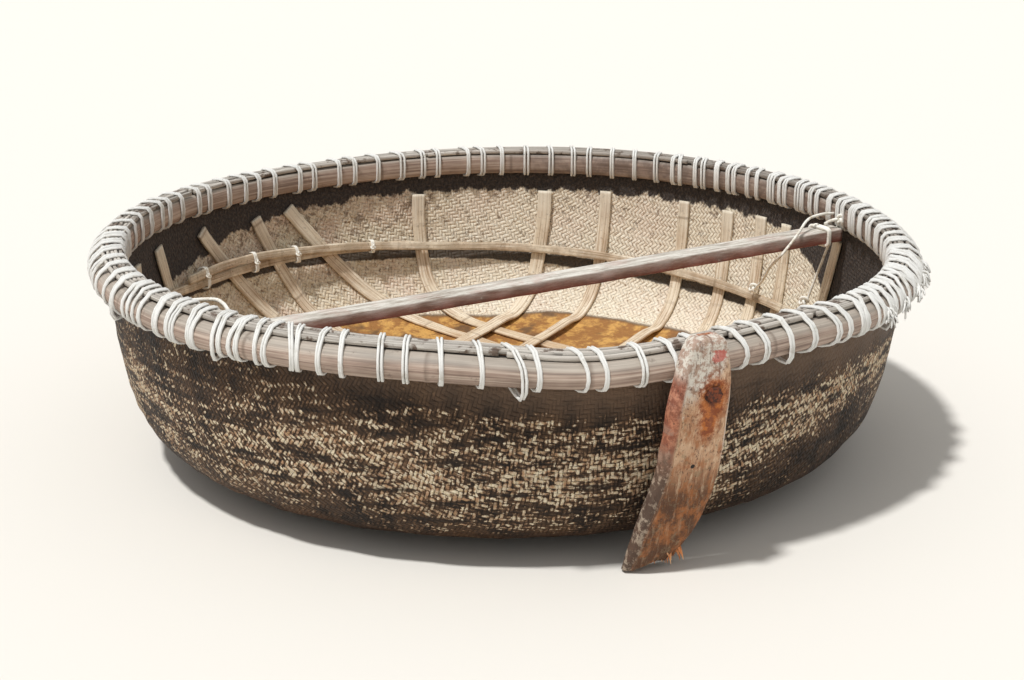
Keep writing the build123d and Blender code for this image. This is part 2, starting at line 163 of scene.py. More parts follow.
def surface(name, points, along=None, across=None, closed_rows=False, marks=None):
    """Make a closed piece from a grid of points, or from several grids of one size.

    Each face joins the points of two rows and two columns that follow each other. Columns run
    round the piece's outline and meet. Rows run along it, and unless they meet too, a fan
    closes each end. The map holds the distances along and across, and the faces are all
    turned over if the volume they enclose comes out negative.
    """
    points = np.asarray(points, float)
    points = points[None] if points.ndim == 3 else points
    strips, rows, columns, _ = points.shape
    spots = points.reshape(-1, 3)
    if along is None:
        along = np.repeat(distances(points, 1)[:, :, None], columns + 1, 2)
        across = np.repeat(distances(points, 2)[:, None, :], rows + 1, 1)
    else:
        once_more = ((0, 0), (0, 1), (0, 1))
        along = np.pad(along[None], once_more, mode="wrap")
        across = np.pad(across[None], once_more, mode="wrap")
    number = np.arange(spots.shape[0]).reshape(strips, rows, columns)
    place = np.arange(along.size).reshape(along.shape)
    row = np.arange(rows if closed_rows else rows - 1)[:, None]
    column = np.arange(columns)[None]
    square = ((0, 0), (0, 1), (1, 1), (1, 0))
    faces = np.stack([number[:, (row + i) % rows, (column + j) % columns] for i, j in square], -1)
    faces = faces.reshape(-1, 4)
    corners = np.stack([place[:, row + i, column + j] for i, j in square], -1).reshape(-1, 4)
    fans = np.zeros((0, 3), int)
    fan_corners = np.zeros((0, 3), int)
    if not closed_rows:
        for end, order in ((0, 1), (rows - 1, -1)):
            middle = spots.shape[0] + np.arange(strips)
            spots = np.concatenate([spots, points[:, end].mean(1)])
            edge = number[:, end]
            fan = np.stack([np.broadcast_to(middle[:, None], edge.shape), np.roll(edge, -1, 1), edge], -1)
            edge_place = place[:, end, :columns]
            spread = np.stack([edge_place, place[:, end, 1:], edge_place], -1)
            fans = np.concatenate([fans, fan[..., ::order].reshape(-1, 3)])
            fan_corners = np.concatenate([fan_corners, spread[..., ::order].reshape(-1, 3)])
    a, b, c, d = (spots[faces[:, k]] for k in range(4))
    volume = np.einsum("ij,ij->", a, np.cross(b, c)) + np.einsum("ij,ij->", a, np.cross(c, d))
    if volume < 0:
        faces, corners = faces[:, ::-1], corners[:, ::-1]
        fans, fan_corners = fans[:, ::-1], fan_corners[:, ::-1]
    mesh = bpy.data.meshes.new(name)
    mesh.from_pydata(spots.tolist(), [], faces.tolist() + fans.tolist())
    chosen = np.concatenate([corners.reshape(-1), fan_corners.reshape(-1)])
    run = np.stack([along.reshape(-1)[chosen], across.reshape(-1)[chosen]], -1)
    mesh.uv_layers.new(name="run").data.foreach_set("uv", run.reshape(-1))
    mesh.polygons.foreach_set("use_smooth", np.ones(len(mesh.polygons), bool))
    for mark, values in (marks or {}).items():
        values = np.broadcast_to(values, (strips, rows, columns)).reshape(-1)
        values = np.concatenate([values, np.full(spots.shape[0] - values.size, values.mean())])
        mesh.attributes.new(mark, "FLOAT", "POINT").data.foreach_set("value", values.astype(np.float32))
    mesh.update()
    piece = bpy.data.objects.new(name, mesh)
    bpy.context.scene.collection.objects.link(piece)
    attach(piece, "root")
    return piece


def shade(red, green, blue):
    """A colour given as a painter reads it, from 0 to 255, as the shader's own light values."""
    parts = np.array([red, green, blue]) / 255
    return (*np.where(parts <= 0.04045, parts / 12.92, ((parts + 0.055) / 1.055) ** 2.4), 1.0)


def node(tree, kind, wires=None, **settings):
    """Add a node, set it, and wire or fill its sockets, which go by name or by number."""
    made = tree.nodes.new("ShaderNode" + kind)
    for setting, value in settings.items():
        setattr(made, setting, value)
    for socket, value in (wires or {}).items():
        if isinstance(value, bpy.types.NodeSocket):
            tree.links.new(value, made.inputs[socket])
        else:
            made.inputs[socket].default_value = value
    return made


def fed(kind, wires, **settings):
    """Add a node to the tree that the wires that feed it belong to."""
    tree = next(value.id_data for value in wires.values() if isinstance(value, bpy.types.NodeSocket))
    return node(tree, kind, wires, **settings)


def calc(operation, *values):
    """Result of one sum on wires or numbers."""
    return fed("Math", dict(enumerate(values)), operation=operation).outputs[0]


def times(first, second):
    """Product of a wire and a wire or number."""
    return calc("MULTIPLY", first, second)


def weighed(start, *terms):
    """A start plus each value times its weight. The terms are pairs of value and weight."""
    total = start
    for value, weight in terms:
        total = calc("MULTIPLY_ADD", value, weight, total)
    return total


def rising(value, low, high):
    """0 up to the first limit, 1 from the second on, and a soft S between them. Where the second
    limit is the lower one, it falls from 1 to 0 instead as the value rises."""
    wires = {"Value": value, "From Min": low, "From Max": high}
    return fed("MapRange", wires, interpolation_type="SMOOTHSTEP").outputs[0]


def mixed(share, first, second):
    """The first colour where the share is 0 and the second where it is 1. A colour is a wire, or
    three numbers from 0 to 255."""
    first, second = (shade(*colour) if isinstance(colour, tuple) else colour for colour in (first, second))
    return fed("Mix", {0: share, 6: first, 7: second}, data_type="RGBA").outputs[2]


def coated(colour, *coats):
    """Lay coats over a colour, one after another. Each says where it lies, from 0 to 1, how
    strong it is there, and its colour."""
    for where, strength, over in coats:
        colour = mixed(where if strength == 1 else times(where, strength), colour, over)
    return colour


def cloud(place, scale, stretch=(1, 1, 1), detail=4.0, rough=0.6):
    """Soft noise at a scale to the metre, drawn out along the axes by a stretch."""
    run = fed("Mapping", {"Vector": place, "Scale": stretch}).outputs[0]
    wires = {"Vector": run, "Scale": scale, "Detail": detail, "Roughness": rough}
    return fed("TexNoise", wires).outputs[0]


def place_of(tree):
    """Place in the boat of each point."""
    return node(tree, "TexCoord").outputs["Object"]


def run_of(tree):
    """Distances of each point along and across its own piece."""
    return node(tree, "UVMap", uv_map="run").outputs[0]


def mark_of(tree, name):
    """What a piece's own mark holds at each point."""
    return node(tree, "Attribute", attribute_name=name).outputs["Fac"]


def parts_of(place):
    """The three numbers of a place or a way."""
    return fed("SeparateXYZ", {0: place}).outputs


def finish(name, build, shine=0.5):
    """New material. A build function works out its colour, roughness, height and depth of relief,
    and its shine is how strong its glints are."""
    material = bpy.data.materials.new(name)
    material.use_nodes = True
    tree = material.node_tree
    shader = tree.nodes["Principled BSDF"]
    shader.inputs["Specular IOR Level"].default_value = shine
    colour, rough, height, depth = build(tree)
    for value, socket in ((colour, "Base Color"), (rough, "Roughness")):
        if isinstance(value, bpy.types.NodeSocket):
            tree.links.new(value, shader.inputs[socket])
        else:
            shader.inputs[socket].default_value = value
    bump = fed("Bump", {"Height": height, "Distance": depth, "Strength": 1.0}).outputs[0]
    tree.links.new(bump, shader.inputs["Normal"])
    return material


strip_width = 0.0090


def woven(run, wander):
    """Height of a twill of two over two and under on the flat mat, and a number for each strip.

    A strip's height is a rounded hump across it, lifted by half a sine wave over the two
    strips that it passes over. The strips wander off the straight by a distance.
    """
    shift = fed("TexNoise", {"Vector": run, "Scale": 7.0, "Detail": 2.0}).outputs[1]
    shift = fed("VectorMath", {0: shift, 1: (-0.5, -0.5, -0.5)}, operation="ADD").outputs[0]
    shift = fed("VectorMath", {0: shift, "Scale": wander}, operation="SCALE").outputs[0]
    bent = fed("VectorMath", {0: run, 1: shift}, operation="ADD").outputs[0]
    first, second = (calc("DIVIDE", part, strip_width) for part in parts_of(bent)[:2])
    column = calc("FLOOR", first)
    row = calc("FLOOR", second)
    diagonal = calc("FLOORED_MODULO", calc("ADD", column, row), 4.0)
    on_top = calc("LESS_THAN", diagonal, 2.0)
    # Columns: how far across a strip, how far along it, and where in the twill it comes up
    both_ways = (
        (second, calc("ADD", first, row), 0.0),
        (first, calc("ADD", second, column), 2.0),
    )
    heights = []
    for across, onward, start in both_ways:
        off_middle = calc("ABSOLUTE", calc("SUBTRACT", calc("FRACT", across), 0.5))
        hump = calc("SUBTRACT", 1.0, calc("POWER", times(off_middle, 2.0), 3.0))
        share = calc("FLOORED_MODULO", calc("ADD", onward, start), 4.0)
        lift = calc("SINE", times(share, pi / 2))
        heights.append(times(hump, weighed(0.4, (lift, 0.6))))
    height = fed("Mix", {0: on_top, 2: heights[1], 3: heights[0]}).outputs[0]
    one = weighed(11.0, (row, 1.37))
    other = weighed(301.0, (column, 2.11))
    strip = fed("Mix", {0: on_top, 2: other, 3: one}).outputs[0]
    lot = fed("TexWhiteNoise", {"W": strip}, noise_dimensions="1D").outputs["Value"]
    return calc("MAXIMUM", height, 0.0), lot


def tarred_outside(tree):
    """Tar worn off the crowns of the strips over the side, thick and smooth under the rim, with
    painted shade in the hollows of the weave and between its ridges.
    """
    place = place_of(tree)
    run = run_of(tree)
    crown, lot = woven(run, 0.022)
    tar = mark_of(tree, "tar")
    foul = mark_of(tree, "foul")
    patches = cloud(place, 6.0, detail=3.0)
    grit = cloud(run, 95.0, detail=5.0, rough=0.75)
    fibres = cloud(run, 260.0, detail=2.0)
    smears = cloud(place, 30.0, stretch=(1, 1, 0.12), detail=5.0)
    flecks = cloud(run, 62.0, detail=3.0, rough=0.6)
    ridges = cloud(place, 34.0, stretch=(0.24, 0.24, 1.8), detail=4.0, rough=0.65)
    # How bare it is: the crowns, the ridges and what rubs there count for it, and tar against it
    bare = weighed(
        -0.995, (crown, 0.26), (grit, 1.25), (flecks, 0.70), (patches, 0.50), (ridges, 1.05),
        (lot, 0.16), (mark_of(tree, "wear"), 0.28), (tar, -0.50), (foul, -0.12),
    )
    worn = rising(bare, 1.23, 1.29)
    bamboo = coated(
        (184, 142, 112),
        (rising(flecks, 0.40, 0.60), 1, (240, 228, 202)),
        (rising(fibres, 0.48, 0.62), 0.7, (188, 166, 116)),
        (lot, 0.35, (140, 108, 82)),
    )
    # Painted shade: darker in the hollows between the ridges and between the crowns of the weave
    ridge_hollow_shade = times(rising(ridges, 0.46, 0.36), 0.8)
    crease_shade = calc("MAXIMUM", rising(crown, 0.4, 0.0), ridge_hollow_shade)
    crease_shade = times(crease_shade, weighed(0.85, (tar, -0.6)))
    colour = coated(
        (36, 26, 18),
        (rising(smears, 0.36, 0.66), 1, (80, 60, 44)),
        (rising(patches, 0.50, 0.72), 1, (90, 66, 44)),
        (tar, 0.7, (112, 91, 74)),
        (rising(bare, 1.08, 1.20), 0.8, (122, 94, 70)),
        (worn, 1, bamboo),
        (crease_shade, 1, (26, 21, 18)),
        (rising(times(foul, patches), 0.22, 0.5), 0.45, (86, 58, 36)),
    )
    bare_crown = times(crown, weighed(1.0, (tar, -0.7)))
    height = weighed(bare_crown, (grit, 0.6), (smears, 0.4), (ridges, 1.6))
    return colour, weighed(0.62, (worn, 0.25)), height, 0.0036


def tarred_inside(tree):
    """Straw-coloured, weathered weave, dark under the rim with tar and painted shade of the rim, and
    silty in the bottom. Painted light pales its right end, and painted shade darkens the weave's
    hollows and the wall under the hoop.
    """
    place = place_of(tree)
    run = run_of(tree)
    crown, lot = woven(run, 0.018)
    patches = cloud(place, 9.0, detail=3.0)
    grit = cloud(run, 110.0, detail=5.0, rough=0.75)
    jagged = cloud(place, 26.0, stretch=(1, 1, 0.5), detail=4.0, rough=0.7)
    blots = cloud(place, 52.0, detail=5.0, rough=0.75)
    x, _, z = parts_of(place)
    rightward = rising(x, 0.05, 0.45)
    dirt = weighed(blots, (z, 0.30), (rightward, -0.04))
    straw = coated(
        (208, 190, 160),
        (lot, 1, (232, 220, 196)),
        (rising(patches, 0.40, 0.70), 1, (216, 192, 170)),
        # Painted light: the straw is made paler towards the right end
        (rightward, 0.5, (244, 234, 214)),
        (rising(grit, 0.53, 0.63), 1, (240, 234, 218)),
        (rising(grit, 0.47, 0.34), 1, (146, 116, 86)),
        (rising(dirt, 0.60, 0.68), 0.7, (112, 90, 71)),
    )
    # The inside's tar mark holds tar and painted shade of the rim together
    tar = rising(weighed(mark_of(tree, "tar"), (jagged, 1.3)), 1.07, 1.23)
    tar_and_shade_colour = mixed(rising(grit, 0.4, 0.7), (42, 36, 33), (84, 73, 65))
    wet = weighed(mark_of(tree, "silt"), (patches, 0.35))
    silty = rising(wet, 0.595, 0.775)
    silt_edge = times(rising(wet, 0.475, 0.675), rising(wet, 0.895, 0.675))
    silt_colour = coated(
        (204, 156, 84),
        (rising(jagged, 0.38, 0.58), 1, (150, 102, 50)),
        (rising(patches, 0.54, 0.66), 1, (104, 74, 44)),
        (rising(blots, 0.50, 0.66), 0.5, (128, 88, 46)),
    )
    # Painted shade in the hollows between the crowns of the weave
    crease_shade = times(rising(crown, 0.3, 0.0), weighed(0.45, (silty, -0.3)))
    # Painted shadow of the wall hoop: a dark line on the wall just under it
    shaded = weighed(mark_of(tree, "painted_hoop_shadow"), (jagged, 0.9))
    colour = coated(
        straw,
        (tar, 1, tar_and_shade_colour),
        (silty, 1, silt_colour),
        (silt_edge, 0.75, (92, 66, 40)),
        (crease_shade, 1, (74, 58, 44)),
        (rising(shaded, 0.72, 0.96), 0.92, (46, 36, 28)),
    )
    relief = times(weighed(crown, (grit, 0.6)), weighed(1.0, (silty, -0.7)))
    rough = weighed(0.86, (rising(wet, 0.625, 0.875), -0.2))
    return colour, rough, relief, 0.0022


hoop_middle = 0.200
hoop_tilt = 3.9
hoop_high_side = 141.0
hoop_radius = 0.79


def hoop_line(turn):
    """Height of the inside's wall hoop at headings in radians: a level ring tipped towards its
    high side, so that it follows a cosine of the heading, and a little uneven."""
    tipped = hoop_radius * tan(radians(hoop_tilt)) * np.cos(turn - radians(hoop_high_side))
    return hoop_middle + tipped + 0.004 * uneven(turn * 0.8, 0 * turn, 0.5, 61)


# The rows of points follow the section outwards under the bowl and back inwards over it, few
# to the flat and the dish and many to the bilge and the side
mat_heading = radians(-20.0)
turns_round = 540
centre_hole = 0.02
coarse_end = 0.58
fine_start = 0.60
outer_run = np.concatenate([
    np.linspace(centre_hole, coarse_end, 15), np.linspace(fine_start, skin_length, 72)
])
inner_run = np.concatenate([
    np.linspace(skin_length, fine_start, 66), np.linspace(coarse_end, centre_hole, 24)
])
bowl_run = np.concatenate([outer_run, inner_run])
is_outside = np.arange(bowl_run.size) < outer_run.size
headings = full_turn(turns_round)
radius, height, turn = section(bowl_run, np.where(is_outside, 0, wall))
mat_u = bowl_run[:, None] * np.cos(headings - mat_heading)
mat_v = bowl_run[:, None] * np.sin(headings - mat_heading)
lumps = 0.0016 * uneven(mat_u, mat_v, 0.16, 3) + 0.0007 * uneven(mat_u, mat_v, 0.04, 4)
lumps = lumps * np.clip((bowl_run[:, None] - 0.5) * 4, 0, 1)
radius = radius[:, None] + lumps * np.cos(turn)[:, None]
height = height[:, None] + lumps * np.sin(turn)[:, None]
bowl_points = round_boat(radius, headings, height)

# What the marks hold, by height and heading: how thick the tar lies outside, and inside how far
# tar and painted shade of the rim darken the wall, how foul the bottom is, how much it has rubbed
# outside, where a painted shadow of the wall hoop falls on the wall, and where silt lies
around = np.degrees(headings)
tar_edge = 0.300 + 0.080 * bell(around, -165.0, 38.0)
outside_tar = np.clip((height - tar_edge) / 0.06, 0, 1)
# Inside, tar and painted shade of the rim darken the wall under the rim. The band reaches down furthest at
# the left end, where the wall is in painted shade, and at the right end
tar_and_shade_edge = 0.352 - 0.10 * bell(around, 138.0, 26.0) - 0.20 * bell(around, -18.0, 15.0)
inside_tar_and_shade = np.clip((height - tar_and_shade_edge) / 0.05 + 0.5, 0, 1)
wear_middle = 0.20 + 0.10 * bell(around, -62.0, 22.0)
wear_reach = 0.10 - 0.042 * bell(around, -62.0, 22.0)
spared = (1 - 0.35 * bell(around, -165.0, 40.0)) * (1 - 0.45 * bell(around, -28.0, 14.0))
# Painted shadow: a dark line on the wall just under the wall hoop, strongest on the far side
painted_hoop_shadow = np.exp(-(((height - hoop_line(headings) + 0.027) / 0.013) ** 2))
silt_line = 0.051 + 0.006 * uneven(bowl_points[..., 0], bowl_points[..., 1], 0.5, 12)
marks = {
    "tar": np.where(is_outside[:, None], outside_tar, inside_tar_and_shade),
    "foul": np.clip(1 - (height - 0.04) / 0.09, 0, 1),
    "wear": np.exp(-(((height - wear_middle) / wear_reach) ** 2)) * spared,
    "painted_hoop_shadow": painted_hoop_shadow * np.clip(0.6 + bell(around, 85.0, 60.0), 0, 1),
    "silt": np.clip((silt_line - height) / 0.02 + 0.5, 0, 1),
}
woven_bowl = surface("woven_bowl", settled(bowl_points), mat_u, mat_v, marks=marks)
woven_bowl.data.materials.append(finish("tarred_weave_outside", tarred_outside, 0.22))
woven_bowl.data.materials.append(finish("tarred_weave_inside", tarred_inside))
inside_faces = np.repeat(~is_outside[:-1], turns_round).astype(int)
end_faces = np.repeat([0, 1], turns_round)
woven_bowl.data.polygons.foreach_set("material_index", np.concatenate([inside_faces, end_faces]))
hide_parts("hull_shell")

# Rim hoops. A thick split bamboo is bent round outside the basket's edge, its skin outwards,
# and a flatter one inside, and between them they clamp the edge of the weave.
outer_hoop_depth = 0.0415
outer_hoop_height = 0.053
inner_hoop_depth = 0.018
inner_hoop_height = 0.050
outer_hoop_power = 0.62
inner_hoop_power = 0.40
hoop_gap = 0.0003
joint_spacing = (17, 27)
joint_half_width = 0.32
last_joint = 352.0
joint_swell = 0.0012
skin_swell = 0.0007


def hoop(name, face_radius, side, depth, tall, power, seed):
    """Carry the half-round outline of a split bamboo round the boat.

    The outline's reach is a cosine to a power, and its height a sine, so that a small power
    gives a squarer back. Each joint of the bamboo is a narrow ring that stands proud.
    """
    lot = np.random.default_rng(seed)
    around = full_turn(720)
    bend = np.linspace(-pi / 2, pi / 2, 13)
    reach = np.concatenate([depth * np.cos(bend) ** power, [0.0, 0.0, 0.0]])
    rise = np.concatenate([tall / 2 * np.sin(bend), [tall / 4, 0.0, -tall / 4]])
    joints = np.cumsum(lot.uniform(*joint_spacing, 30))
    joints = joints[joints < last_joint]
    ring = sum(bell(np.degrees(around), joint, joint_half_width) for joint in joints)
    swell = joint_swell * ring[:, None] + skin_swell * uneven(around[:, None] * 0.9, rise * 3, 0.2, seed)
    radius = (reach + swell * (reach > 0)) * side + face_radius
    height = hoop_top - tall / 2 + rise + swell * np.sign(rise) * 0.6
    points = round_boat(radius, around[:, None], height)
    # Painted shade: the top of the hoop under the cap strips is marked to be painted nearly black
    shade_under_cap = (rise > 0.3 * tall) & (reach < 0.3 * depth)
    marks = {"joint": ring[:, None], "shade_under_cap": shade_under_cap}
    piece = surface(name, settled(points), closed_rows=True, marks=marks)
    return piece


def split_bamboo(tree):
    """Weathered bamboo skin: pinkish tan, streaked along its length, grey where the sun bleaches it.
    Painted shade darkens it towards the right end and nearly blacks its top under the cap strips.
    """
    place = place_of(tree)
    run = run_of(tree)
    streaks = cloud(run, 60.0, stretch=(0.05, 3.0, 1), detail=5.0, rough=0.65)
    fine = cloud(run, 300.0, stretch=(0.04, 2.0, 1), detail=3.0)
    patches = cloud(place, 7.0, detail=4.0)
    stains = cloud(place, 34.0, detail=4.0, rough=0.7)
    skyward = rising(parts_of(node(tree, "NewGeometry").outputs["Normal"])[2], 0.15, 0.8)
    bleached = mixed(streaks, (136, 132, 122), (188, 184, 172))
    # Painted shade: darker towards the right end, mottled by the stains
    rightward = rising(parts_of(place)[0], 0.20, 0.70)
    right_end_shade = times(rightward, weighed(0.35, (rising(stains, 0.4, 0.6), 0.4)))
    colour = coated(
        (166, 143, 128),
        (rising(patches, 0.36, 0.66), 1, (136, 115, 101)),
        (rising(streaks, 0.45, 0.68), 1, (196, 177, 161)),
        (rising(streaks, 0.48, 0.32), 1, (110, 90, 78)),
        (skyward, 0.6, bleached),
        (rising(stains, 0.6, 0.72), 0.45, (84, 68, 58)),
        (right_end_shade, 1, (96, 80, 70)),
        (rising(mark_of(tree, "joint"), 0.2, 0.9), 0.55, (96, 78, 64)),
        # painted shade under the cap strips
        (rising(mark_of(tree, "shade_under_cap"), 0.1, 0.7), 1, (38, 32, 27)),
    )
    return colour, weighed(0.45, (streaks, 0.3)), weighed(streaks, (fine, 0.4)), 0.0012


rim_bamboo = finish("rim_bamboo", split_bamboo)
outer_hoop = hoop(
    "outer_hoop", wall_radius + hoop_gap, 1, outer_hoop_depth, outer_hoop_height, outer_hoop_power, 21
)
outer_hoop.data.materials.append(rim_bamboo)
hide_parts("rim_outer_hoop")
inner_hoop = hoop(
    "inner_hoop", wall_radius - wall - hoop_gap, -1, inner_hoop_depth, inner_hoop_height,
    inner_hoop_power, 22
)
inner_hoop.data.materials.append(rim_bamboo)
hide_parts("rim_inner_hoop")

# Cap strips. Thin split strips are laid side by side on top of the edge to shed the rain. They
# come in lengths that butt end to end, lie a little unevenly and have gaps between them, dark
# with the painted shade on the hoops' tops beneath.
cap_count = 5
cap_first_radius = 0.8345
cap_pitch = 0.0091
cap_width = 0.0070
cap_middle = 0.4537
cap_thickness = 0.0092
cap_longest = 60
cap_half_gap = 0.5
cap_crown = 0.0016
cap_sway_reach = 0.0015
cap_heave_height = 0.0016


def squared(wave, power):
    """A wave between -1 and 1 raised to a small power, which squares it off."""
    return np.sign(wave) * np.abs(wave) ** power


def squared_oval(width, thickness, corners, power=0.4):
    """Closed outline of a flat strip: an oval whose sine and cosine are raised to a small power."""
    turn = full_turn(corners) + pi / corners
    across = squared(np.cos(turn), power)
    out = squared(np.sin(turn), power)
    return across / np.abs(across).max() * width / 2, out / np.abs(out).max() * thickness / 2


lot = np.random.default_rng(31)
# Columns: number of the strip, heading where a length of it starts, and heading where it ends
cap_lengths = []
for strip in range(cap_count):
    butts = np.sort(lot.uniform(0, 360, 5)) + strip * 13
    for start, stop in zip(butts, np.append(butts[1:], butts[0] + 360)):
        pieces = max(int(np.ceil((stop - start) / cap_longest)), 1)
        cuts = np.linspace(start, stop, pieces + 1)
        for low, high in zip(cuts[:-1], cuts[1:]):
            cap_lengths.append((strip, low + cap_half_gap, high - cap_half_gap))
strip, start, stop = np.array(cap_lengths).T[..., None]
cap_turn = np.radians(start + (stop - start) * np.linspace(0, 1, 56))
cap_sway = cap_sway_reach * uneven(cap_turn * 0.86, strip * 0.7, 0.45, 33)
cap_heave = cap_heave_height * uneven(cap_turn * 0.86, strip * 0.9, 0.30, 34)
from_middle = 2 * strip / (cap_count - 1) - 1
cap_height = cap_middle + cap_crown * (1 - from_middle**2) + cap_heave
across, out = squared_oval(cap_width, cap_thickness, 8)
cap_radius = (cap_first_radius + strip * cap_pitch + cap_sway)[..., None] + across
cap_points = round_boat(cap_radius, cap_turn[..., None], cap_height[..., None] + out)
cap_tones = lot.uniform(0, 1, (len(cap_lengths), 1, 1))
cap_strips = surface("cap_strips", settled(cap_points), marks={"tone": cap_tones})


def cap_bamboo(tree):
    """Sun-bleached strips of green-grey bamboo, each of its own tone, with darker patches, and
    painted shade towards the right end.
    """
    place = place_of(tree)
    streaks = cloud(run_of(tree), 90.0, stretch=(0.06, 3.0, 1), detail=5.0, rough=0.7)
    patches = cloud(place, 22.0, detail=4.0, rough=0.7)
    colour = coated(
        (138, 131, 122),
        (mark_of(tree, "tone"), 1, (194, 186, 176)),
        (rising(streaks, 0.48, 0.66), 1, (224, 220, 210)),
        (rising(patches, 0.53, 0.62), 1, (104, 88, 76)),
        # Painted shade: darker towards the right end
        (rising(parts_of(place)[0], 0.20, 0.70), 0.5, (98, 88, 78)),
    )
    return colour, 0.75, streaks, 0.0012


cap_strips.data.materials.append(finish("cap_bamboo", cap_bamboo))
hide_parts("rim_cap_rods")

# Rim lashing. White nylon line is passed through the weave under the hoops and drawn tight
# over the cap, two turns side by side, about every 6 cm, and closer at the two ends. A few turns
# have gone slack, and one stretch was mended with many turns whose frayed ends stand out.
line_radius = 0.0031
lashing_count = 92
closer_step = 3.9
mended_count = 15
slack_chance = 0.10
rim_middle_radius = 0.8535
lashed_radius = 0.87
half_rim_width = 0.05
# Columns: radius and height of a turn's corners, from under the outer hoop outwards round the rim
lashing_route = np.array([
    (0.8600, 0.3912), (0.8740, 0.3908), (0.8880, 0.3945), (0.8980, 0.4045), (0.9022, 0.4200),
    (0.8992, 0.4350), (0.8910, 0.4462), (0.8800, 0.4540), (0.8710, 0.4614), (0.8520, 0.4628),
    (0.8330, 0.4612), (0.8258, 0.4520), (0.8246, 0.4250), (0.8262, 0.4020), (0.8340, 0.3940),
    (0.8460, 0.3920),
])


def unit(ways):
    """Ways cut to a length of one."""
    return ways / np.linalg.norm(ways, axis=-1, keepdims=True)


def rings(route, full, closed=False, facing=(0, 0, 1)):
    """At each point of a route, a ring square to the route's run.

    Each point of a ring stands at its own distance from the middle. The rings are turned
    against a fixed way, so that they don't twist on each other.
    """
    route = np.asarray(route, float)
    if closed:
        run = np.roll(route, -1, -2) - np.roll(route, 1, -2)
    else:
        run = np.gradient(route, axis=-2)
    run = unit(run)
    side = unit(np.cross(run, np.broadcast_to(facing, run.shape)))
    out = np.cross(side, run)
    turn = full_turn(full.shape[-1])
    ring_side = (full * np.cos(turn))[..., None] * side[..., None, :]
    ring_out = (full * np.sin(turn))[..., None] * out[..., None, :]
    return route[..., None, :] + ring_side + ring_out


def tube(route, radius, sides, closed=False, facing=(0, 0, 1)):
    """Plain round cord along routes of points."""
    return rings(route, np.asarray(radius)[..., None] * np.ones(sides), closed, facing)


def round_way(headings):
    """The way round the boat at headings in radians, for routes of points that start there."""
    return np.stack([-np.sin(headings), np.cos(headings), 0 * headings], -1)[:, None]


lot = np.random.default_rng(41)
spaced = np.linspace(0, 360, lashing_count, endpoint=False) + lot.uniform(-0.8, 0.8, lashing_count)
mended = np.linspace(-70, -42, mended_count) + lot.uniform(-0.5, 0.5, mended_count)
closer = np.concatenate([np.arange(-40.0, 30.0, closer_step), np.arange(150.0, 214.0, closer_step)])
closer = closer + lot.uniform(-0.5, 0.5, closer.size)
turns = np.concatenate([spaced, closer, mended])
plain = spaced.size + closer.size
slant = np.concatenate([lot.normal(0.012, 0.006, plain), lot.normal(-0.026, 0.008, mended_count)])
is_slack = lot.uniform(0, 1, turns.size) < slack_chance
slack_turns = np.where(is_slack, lot.uniform(0.4, 1.0, turns.size), 0.0)

# Each turn is two strands side by side. A slack one sags most at the third of its corners, and
# a slanted one leans more the further out it stands.
heading = np.repeat(np.radians(turns), 2)
lean = np.repeat(slant, 2) + lot.normal(0, 0.0015, heading.size)
beside = np.tile([-0.5, 0.5], turns.size) * lot.uniform(0.0058, 0.0078, heading.size)
hang = np.repeat(slack_turns, 2) * lot.uniform(0.6, 1.0, heading.size)
sag = hang[:, None] * np.exp(-((np.arange(len(lashing_route)) - 2.2) / 1.5) ** 2)
strand_radius = lashing_route[:, 0] + 0.009 * sag + lot.normal(0, 0.0004, sag.shape)
strand_height = lashing_route[:, 1] - 0.020 * sag
over = (strand_radius - rim_middle_radius) / half_rim_width
sideways = (lean[:, None] * over + beside[:, None] * (1 - 0.3 * over)) / lashed_radius
routes = round_boat(strand_radius, heading[:, None] + sideways, strand_height)
strands = tube(settled(routes), line_radius, 5, True, round_way(heading))
rim_lashing = surface("rim_lashing", strands, closed_rows=True)


def nylon_line(tree):
    """White nylon, laid up of fine strands and greyed by dirt in places."""
    slope = fed("Mapping", {"Vector": run_of(tree), "Rotation": (0, 0, 0.7)}).outputs[0]
    wires = {"Vector": slope, "Scale": 190.0, "Distortion": 0.6}
    strands = fed("TexWave", wires, wave_profile="SIN").outputs[1]
    dirt = cloud(place_of(tree), 28.0, detail=4.0, rough=0.7)
    colour = coated(
        (248, 247, 242),
        (rising(dirt, 0.52, 0.76), 1, (206, 200, 186)),
        # Painted shade in the grooves between the strands
        (calc("SUBTRACT", 1.0, strands), 0.12, (176, 170, 158)),
    )
    return colour, 0.55, strands, 0.0006


white_line = finish("white_line", nylon_line)
rim_lashing.data.materials.append(white_line)

# Where the rim was mended, cut ends and loose fibres of the line stand out of the lashing and
# droop. Each starts on the outer hoop's rounded face, which is a ring in section.
end_count = 80
thick_ends = 60
thick_end_radius = 0.0027
fibre_radius = 0.0007
end_ring_middle = (0.8735, 0.4202)
end_ring_radius = 0.0265
end_headings = (-40.0, -45.5, -51.5, -58.0, -64.0)
lot = np.random.default_rng(43)
along = np.linspace(0, 1, 9)
frayed_at = np.radians(np.tile(end_headings, end_count // len(end_headings)))
frayed_at = frayed_at + lot.normal(0, 0.008, end_count)
thickness = np.where(np.arange(end_count) < thick_ends, thick_end_radius, fibre_radius)
spread, drop, stand, turn = (
    values[:, None] for values in (
        lot.normal(-0.010, 0.014, end_count),
        lot.uniform(0.002, 0.024, end_count),
        lot.uniform(0.006, 0.020, end_count),
        lot.uniform(-0.6, 0.5, end_count),
    )
)
droop = drop * along**1.6 - 0.003 * np.sin(along * pi)
end_radius = end_ring_middle[0] + end_ring_radius * np.cos(turn) + stand * np.sin(along * 1.5)
end_height = end_ring_middle[1] + end_ring_radius * np.sin(turn) - droop
routes = round_boat(end_radius, frayed_at[:, None] + spread * along, end_height)
